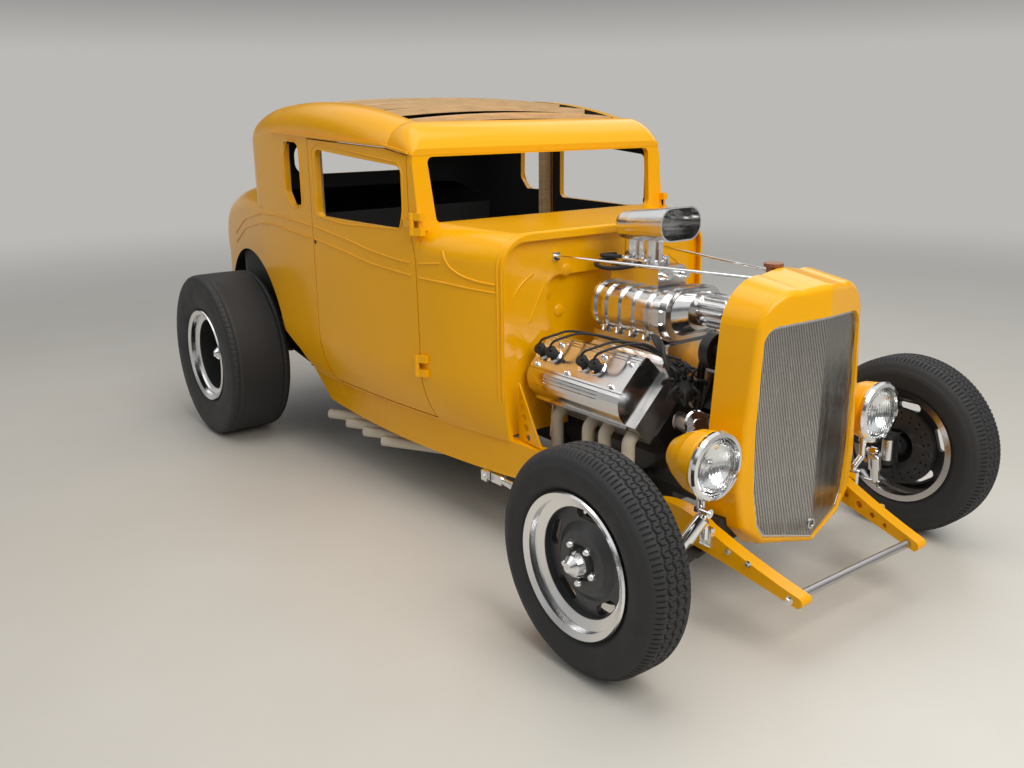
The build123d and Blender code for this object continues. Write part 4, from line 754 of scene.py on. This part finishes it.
# Rows of studs: how far across the cover, and the distances behind the front axle
stud_rows = ((0.050, (0.36, 0.576, 0.735)), (-0.044, (0.345, 0.466, 0.683)))
stud_size = 0.017
well_profile = [(-0.001, 0.030), (0.004, 0.030), (0.006, 0.028), (0.006, 0.020), (-0.001, 0.019)]
boot_profile = [(0, 0.0175), (0.016, 0.0175), (0.020, 0.021), (0.028, 0.021), (0.033, 0.017),
                (0.035, 0.008), (0.035, 0)]
neck_profile = [(0, 0.0075), (0.024, 0.0075), (0.026, 0.006)]
studs = bmesh.new()
wells = bmesh.new()
boots = bmesh.new()
for side, _ in both_sides:
    up = bank_up(side)
    for distance in plug_stations:
        seat = on_bank(side, 0, cover_top, distance)
        turn_profile(wells, seat, up, well_profile, 28)
        turn_profile(boots, seat, up, boot_profile, 24)
        turn_profile(boots, seat + up * 0.024, (0.35, side * 0.2, 0.3), neck_profile, 14)
    for across, distances in stud_rows:
        for distance in distances:
            dome_nut(studs, on_bank(side, across, cover_top, distance), up, stud_size)
close_piece(wells, "plug_wells", "chrome", "chassis")
close_piece(boots, "plug_boots", "belt_rubber", "chassis")
close_piece(studs, "cover_studs", "chrome", "chassis")
print("covers studded and plugs booted")

# %% [markdown]
# The plug leads are stiff silicone cable, clamped at both ends: they rise from the boots,
# arch over the cover and dive under the blower to the cap at the front. Each is one smooth
# curve with a round section.

# %% Route the plug leads
lead_radius = 0.0042


def bend_line(name, points, radius, slot, body):
    """A round line along a smooth curve whose control points are the given places."""
    curve = bpy.data.curves.new(name, "CURVE")
    curve.dimensions = "3D"
    curve.bevel_depth = radius
    curve.bevel_resolution = 3
    curve.resolution_u = 6
    curve.use_fill_caps = True
    spline = curve.splines.new("NURBS")
    spline.points.add(len(points) - 1)
    for control, place in zip(spline.points, points):
        control.co = (*place, 1)
    spline.order_u = 3
    spline.use_endpoint_u = True
    place_piece(curve, name, slot, body)


for side, word in both_sides:
    up = bank_up(side)
    inward = Vector((0, -side, 0))
    for n, distance in enumerate(plug_stations):
        lift = 0.052 + 0.008 * (n % 2)
        start = on_bank(side, 0, cover_top + 0.026, distance)
        rise = start + up * 0.03 + Vector((0.02, 0, 0.012))
        crest = start + up * lift + inward * 0.055 + Vector((0.05, 0, 0.012))
        fall = on_bank(side, -0.112, cover_top + 0.010, distance - 0.075)
        lane = Vector((station(0.38 if n < 2 else 0.35), side * (0.205 - 0.006 * n),
                       0.752 + 0.006 * n))
        end = Vector((station(0.235), side * (0.190 + 0.014 * (n % 2)), 0.742 - 0.012 * n))
        bend_line(f"plug_lead_{word}_{n + 1}", [start, rise, crest, fall, lane, end],
                  lead_radius, "belt_rubber", "chassis")
print("plug leads routed")

# %% Build the front cap, its loose loops and the fuel can
cap_at = Vector((station(0.215), -0.190, 0.650))
cap_axis = Vector((0.55, -0.55, 0.63)).normalized()
cap_profile = [(0, 0.026), (0.05, 0.026), (0.052, 0.040), (0.087, 0.042), (0.097, 0.036),
               (0.101, 0.018), (0.101, 0)]
can_at = Vector((1.222, -0.222, 0.556))
can_profile = [(0, 0.030), (0.004, 0.036), (0.016, 0.036), (0.020, 0.038), (0.078, 0.044),
               (0.084, 0.040), (0.086, 0.018), (0.090, 0.016), (0.090, 0)]
cap = bmesh.new()
turn_profile(cap, cap_at - cap_axis * 0.070, cap_axis, cap_profile, 36)
across = cap_axis.orthogonal().normalized()
other = cap_axis.cross(across)
towers = []
tower_count = 8
for n in range(tower_count):
    angle = 2 * math.pi * n / tower_count
    out = across * math.cos(angle) + other * math.sin(angle)
    at = cap_at + cap_axis * 0.026 + out * 0.029
    turn_profile(cap, at, cap_axis, [(0, 0.009), (0.018, 0.008), (0.019, 0.006)], 14)
    towers.append((at + cap_axis * 0.018, out))
close_piece(cap, "spark_cap", "belt_rubber", "chassis")
for n, (at, out) in enumerate(towers):
    crest = at + cap_axis * (0.034 + 0.004 * (n % 3)) + out * 0.012
    drop = at + cap_axis * 0.020 + out * (0.040 + 0.004 * (n % 2))
    tail = Vector((station(0.262), -0.175 - 0.010 * (n % 4), 0.742 - 0.010 * n))
    bend_line(f"cap_lead_{n + 1}", [at, at + cap_axis * 0.022, crest, drop,
                                    drop - cap_axis * 0.045, tail],
              0.0045, "belt_rubber", "chassis")
can = bmesh.new()
turn_profile(can, can_at, (1, -0.20, 0.18), can_profile, 44)
close_piece(can, "fuel_can", "chrome", "chassis")
print("front cap and can in place")

# %% [markdown]
# The blower is a cast case between two machined end plates, held by rows of cap screws. A
# ribbed nose drives it. Below the scoop stand the throttle bodies with their linkage and two
# black fuel hoses. All of these are small turned parts and bent lines.

# %% Screw the blower together
case_height = 0.844
shaft_height = 0.870
# The end plates' screws follow a circle that is stretched and then cut square
plate_half_width = 0.140
plate_half_height = 0.074
squareness = 1.12
plate_screw = 0.011
nose_screw = 0.007
screws = bmesh.new()
for distance, facing in ((0.3735, 1), (0.6885, -1)):
    for n in range(12):
        angle = 2 * math.pi * (n + 0.5) / 12
        across_y = plate_half_width * max(-1, min(1, squareness * math.cos(angle)))
        rise = plate_half_height * max(-1, min(1, squareness * math.sin(angle)))
        at = (station(distance), across_y, case_height + rise)
        hex_bolt(screws, at, (facing, 0, 0), plate_screw)
for side, _ in both_sides:
    for n in range(5):
        turn_profile(screws, (station(0.662) + 0.066 * n, side * 0.126, 0.7575), to_sky,
                     [(0, 0.0085), (0.006, 0.0085), (0.009, 0.006), (0.020, 0.006)], 12)
for n in range(8):
    angle = 2 * math.pi * n / 8
    at = (station(0.296), 0.0545 * math.cos(angle), shaft_height + 0.0545 * math.sin(angle))
    hex_bolt(screws, at, to_front, nose_screw)
close_piece(screws, "blower_screws", "chrome", "chassis")

nose = bmesh.new()
for n in range(14):
    angle = 2 * math.pi * n / 14
    at = (station(0.288), 0.052 * math.cos(angle), shaft_height + 0.052 * math.sin(angle))
    turn_profile(nose, at, to_front, [(0, 0.004), (0.002, 0.0055), (0.088, 0.0055),
                                      (0.09, 0.004)], 10)
close_piece(nose, "nose_ribs", "polished_alloy", "chassis")

# %% Add the throttle bodies, their linkage and the fuel hoses
throttle_stations = (0.650, 0.554)
pivot_profile = [(0, 0.006), (0.020, 0.006), (0.020, 0.009), (0.032, 0.009)]
spacer_profile = [(0, 0.008), (0.022, 0.008)]
fitting_profile = [(0, 0.014), (0.004, 0.014), (0.006, 0.010), (0.030, 0.010)]
fuel = bmesh.new()
for distance in throttle_stations:
    x = station(distance)
    for side, _ in both_sides:
        turn_profile(fuel, (x, side * 0.031, 1.004), (0, side, 0), pivot_profile, 12)
        turn_profile(fuel, (x + 0.018, side * 0.048, 0.992), to_sky, spacer_profile, 6)
    turn_profile(fuel, (x, 0, 0.992), to_sky, [(0, 0.040), (0.010, 0.040), (0.012, 0.034)], 40)
turn_profile(fuel, (station(0.675), -0.060, 1.004), to_front, [(0, 0.004), (0.15, 0.004)], 12)
for side, _ in both_sides:
    turn_profile(fuel, (station(0.462), side * 0.045, 0.962), to_front, fitting_profile, 16)
close_piece(fuel, "throttle_linkage", "chrome", "chassis")
lower_hose = [(0.554, -0.058, 1.000), (0.57, -0.090, 0.985), (0.66, -0.115, 0.970),
              (0.745, -0.105, 0.975), (0.765, -0.05, 0.985), (0.74, 0.02, 0.990),
              (0.69, 0.06, 0.990)]
upper_hose = [(0.650, -0.058, 1.010), (0.67, -0.090, 1.012), (0.71, -0.100, 1.010),
              (0.75, -0.060, 1.006), (0.74, 0.00, 1.004)]
for name, places, radius in (("lower", lower_hose, 0.0075), ("upper", upper_hose, 0.0065)):
    bend_line(f"fuel_hose_{name}", [(station(d), y, z) for d, y, z in places], radius,
              "belt_rubber", "chassis")
print("blower screwed together and its hoses hung")

# %% [markdown]
# Pressed steel is stiffened by beads: two lines along the belt, a line round each side
# window, a double bead round the cowl's front, and bumps and ribs in the firewall. A bead is
# a thin round line that lies half sunk in the panel. A ray from outside finds the panel's
# surface, so the line follows it, and each line rides on the body of its panel.

# %% Press the beads into the panels
bead_step = 0.03
belt_radius = 0.0042
sweep_radius = 0.0045
window_radius = 0.0036
# Routes on the car's side: (distance behind the front axle, height)
belt_low = [(0.795, 0.912), (0.985, 0.930), (1.109, 0.935), (1.404, 0.955), (1.60, 0.983),
            (1.827, 1.007), (2.05, 1.019), (2.24, 1.030), (2.45, 1.022), (2.72, 0.975),
            (2.93, 0.885)]
belt_high = [(1.009, 0.996), (1.119, 0.985), (1.226, 0.986), (1.399, 1.003), (1.594, 1.033),
             (1.819, 1.058), (2.05, 1.068), (2.24, 1.073), (2.45, 1.066), (2.72, 1.018),
             (2.93, 0.930)]
cowl_sweep = [(0.795, 0.940), (0.856, 0.946), (0.916, 0.960), (0.963, 0.984), (0.987, 1.013),
              (0.997, 1.040)]
door_frame = [(1.215, 1.100), (1.196, 1.150), (1.188, 1.290), (1.210, 1.332), (1.340, 1.345),
              (1.555, 1.368), (1.780, 1.386), (1.822, 1.365), (1.832, 1.330), (1.826, 1.150),
              (1.805, 1.105), (1.600, 1.088), (1.215, 1.100)]
quarter_frame = [(1.940, 1.140), (1.925, 1.200), (1.925, 1.330), (1.955, 1.385),
                 (2.010, 1.400), (2.070, 1.392), (2.100, 1.340), (2.105, 1.200),
                 (2.075, 1.140), (2.010, 1.120), (1.940, 1.140)]


def side_bead(name, node, body, side, route, radius):
    """A bead on a side panel along its route."""
    places = []
    for (d0, z0), (d1, z1) in zip(route, route[1:]):
        count = max(2, int(math.hypot(d1 - d0, z1 - z0) / bead_step))
        places += [(d0 + (d1 - d0) * n / count, z0 + (z1 - z0) * n / count) for n in range(count)]
    places.append(route[-1])
    hits = [surface_point(node, (station(d), side * 1.2, z), (0, -side, 0)) for d, z in places]
    hits = [hit for hit in hits if hit]
    if len(hits) > 2:
        bend_line(name, hits, radius, "yellow_paint", body)


def stretch_between(route, start, end):
    """The part of a route between two distances, with its ends put in."""
    spots = np.array(route)
    ends = [(d, float(np.interp(d, spots[:, 0], spots[:, 1]))) for d in (start, end)]
    return [ends[0]] + [tuple(place) for place in route if start < place[0] < end] + [ends[1]]


# Each panel's stretch of the belt stops short of the gap round the door
for side, word in both_sides:
    door = f"door_{word}"
    for label, route in (("low", belt_low), ("high", belt_high)):
        for node, body, start, end in (("cowl", "chassis", route[0][0], 1.115),
                                       (door, door, 1.128, 1.862),
                                       ("rear_body", "chassis", 1.880, 2.93)):
            side_bead(f"belt_{label}_{node}_{word}", node, body, side,
                      stretch_between(route, start, end), belt_radius)
    side_bead(f"cowl_sweep_{word}", "cowl", "chassis", side, cowl_sweep, sweep_radius)
    side_bead(f"door_frame_{word}", door, door, side, door_frame, window_radius)
    side_bead(f"quarter_frame_{word}", "rear_body", "chassis", side, quarter_frame,
              window_radius)
print("belt and windows beaded")

# %% Press the cowl's edge and the firewall
# Rays for the cowl's edge start on a circle about the car's middle line at this height
hoop_height = 0.74
hoop_radius = 1.1
firewall_front_x = 1.2
lowest_bead = 0.50
edge_bead_radius = 0.0038
rib_radius = 0.0055
# Places on the firewall: (distance from the middle line, height)
bump_places = ((0.183, 0.959), (0.255, 0.878), (0.194, 0.808))
bump_profile = [(-0.001, 0.024), (0.003, 0.021), (0.006, 0.014), (0.0075, 0)]
firewall_ribs = {1: [(0.274, 0.939), (0.352, 0.790)],
                 4: [(0.419, 0.880), (0.405, 0.925), (0.333, 0.962)]}
for n, distance in enumerate((0.776, 0.790)):
    rim = []
    for turn in range(-24, 205, 3):
        out = Vector((0, math.cos(math.radians(turn)), math.sin(math.radians(turn))))
        hit = surface_point("cowl", Vector((station(distance), 0, hoop_height)) + out * hoop_radius,
                            -out)
        if hit and hit.z > lowest_bead:
            rim.append(hit)
    bend_line(f"cowl_edge_bead_{n + 1}", rim, edge_bead_radius, "yellow_paint", "chassis")

bumps = bmesh.new()
for side, _ in both_sides:
    for across_y, height in bump_places:
        hit = surface_point("firewall", (firewall_front_x, side * across_y, height), (-1, 0, 0))
        if hit:
            turn_profile(bumps, hit, to_front, bump_profile, 28)
close_piece(bumps, "firewall_bumps", "yellow_paint", "chassis", crease=70)
for side, word in both_sides:
    for n, rib in firewall_ribs.items():
        hits = [surface_point("firewall", (firewall_front_x, side * y, z), (-1, 0, 0))
                for y, z in rib]
        hits = [hit + Vector((-0.001, 0, 0)) for hit in hits if hit]
        if len(hits) > 1:
            bend_line(f"firewall_rib_{word}_{n}", hits, rib_radius, "yellow_paint", "chassis")
print("cowl edge and firewall pressed")

# %% [markdown]
# The idler pulley on its arm keeps the blower's belt tight, and a bundle of leads hangs
# beside it. A black disc on each door's rear edge paints the shade inside its handle hole,
# and a brake line runs down the firewall's right side to the frame.

# %% Add the idler, the loom, the painted shade of the door holes and the brake line
idler_at = Vector((station(0.116), -0.196, 0.800))
idler_profile = [(0, 0.030), (0.006, 0.054), (0.008, 0.057), (0.042, 0.057), (0.043, 0.050),
                 (0.038, 0.046), (0.038, 0.028), (0.046, 0.026), (0.048, 0)]
hub_profile = [(-0.002, 0.018), (0.003, 0.018), (0.005, 0.010), (0.009, 0.010), (0.009, 0)]
idler = bmesh.new()
turn_profile(idler, idler_at, to_front, idler_profile, 48)
close_piece(idler, "idler_pulley", "black_anodised", "chassis")
hub = bmesh.new()
turn_profile(hub, idler_at + Vector((0.048, 0, 0)), to_front, hub_profile, 20)
close_piece(hub, "idler_hub", "chrome", "chassis")
bend_line("idler_arm", [idler_at + Vector((0.004, 0, 0)), (station(0.15), -0.190, 0.760),
                        (station(0.20), -0.130, 0.600), (station(0.262), -0.100, 0.470)],
          0.013, "black_anodised", "chassis")
for n in range(7):
    lag = 0.009 * n
    strand = [(station(0.372), -0.178, 0.795),
              (station(0.300), -0.205 - 0.6 * lag, 0.800 - 0.3 * lag),
              (station(0.235 + 0.3 * lag), -0.262 + lag, 0.742 - 0.4 * lag),
              (station(0.222), -0.225 + lag, 0.672 + 0.3 * lag),
              (station(0.262), -0.165 + lag, 0.655 + lag), (station(0.315), -0.100, 0.700)]
    bend_line(f"front_loom_{n + 1}", strand, 0.0062, "belt_rubber", "chassis")
for side, word in both_sides:
    # A flat disc in the black liner finish paints the shade inside each door's handle hole
    hit = surface_point(f"door_{word}", (station(1.842), side * 1.2, 0.996), (0, -side, 0))
    hole_painted_shade = bmesh.new()
    turn_profile(hole_painted_shade, hit, (0, side, 0), [(-0.001, 0.0085), (0.0012, 0.0085), (0.0014, 0.006)],
                 28)
    close_piece(hole_painted_shade, f"handle_hole_painted_shade_{word}", "black_paint", f"door_{word}")
brake_line = [(0.798, -0.262, 0.700), (0.76, -0.262, 0.690), (0.72, -0.300, 0.560),
              (0.70, -0.335, 0.440), (0.69, -0.345, 0.400)]
bend_line("brake_hard_line", [(station(d), y, z) for d, y, z in brake_line], 0.0035, "chrome",
          "chassis")
print("idler, loom, door holes and brake line added")

# %% [markdown]
# Chassis hardware comes last: small bolts along the frame's front horns, where the lamp
# stands and the spreader bar are held. They are the marks of a car that was put together by
# hand, and they scale everything else.

# %% Bolt the chassis
horn_places = ((-0.118, 0.262), (-0.186, 0.246))
horn_bolt, stand_bolt, spreader_bolt = 0.015, 0.010, 0.019
hardware = bmesh.new()
for side, _ in both_sides:
    for distance, height in horn_places:
        hit = surface_point("frame_rails", (station(distance), side * 1.0, height), (0, -side, 0))
        if hit:
            hex_bolt(hardware, hit, (0, side, 0), horn_bolt)
    for distance in (-0.055, -0.045):
        at = (station(distance), side * 0.3655, 0.276 + (distance + 0.055) * 3)
        hex_bolt(hardware, at, (0, side, 0), stand_bolt)
    hit = surface_point("frame_rails", (station(-0.322), side * 0.6, 0.200), (0, -side, 0))
    if hit:
        hex_bolt(hardware, hit + Vector((0, 0, -0.016)), (0, side, 0), spreader_bolt)
close_piece(hardware, "chassis_bolts", "chrome", "chassis")
print("chassis bolted")

# %% Close the scene
print("scene dressed")
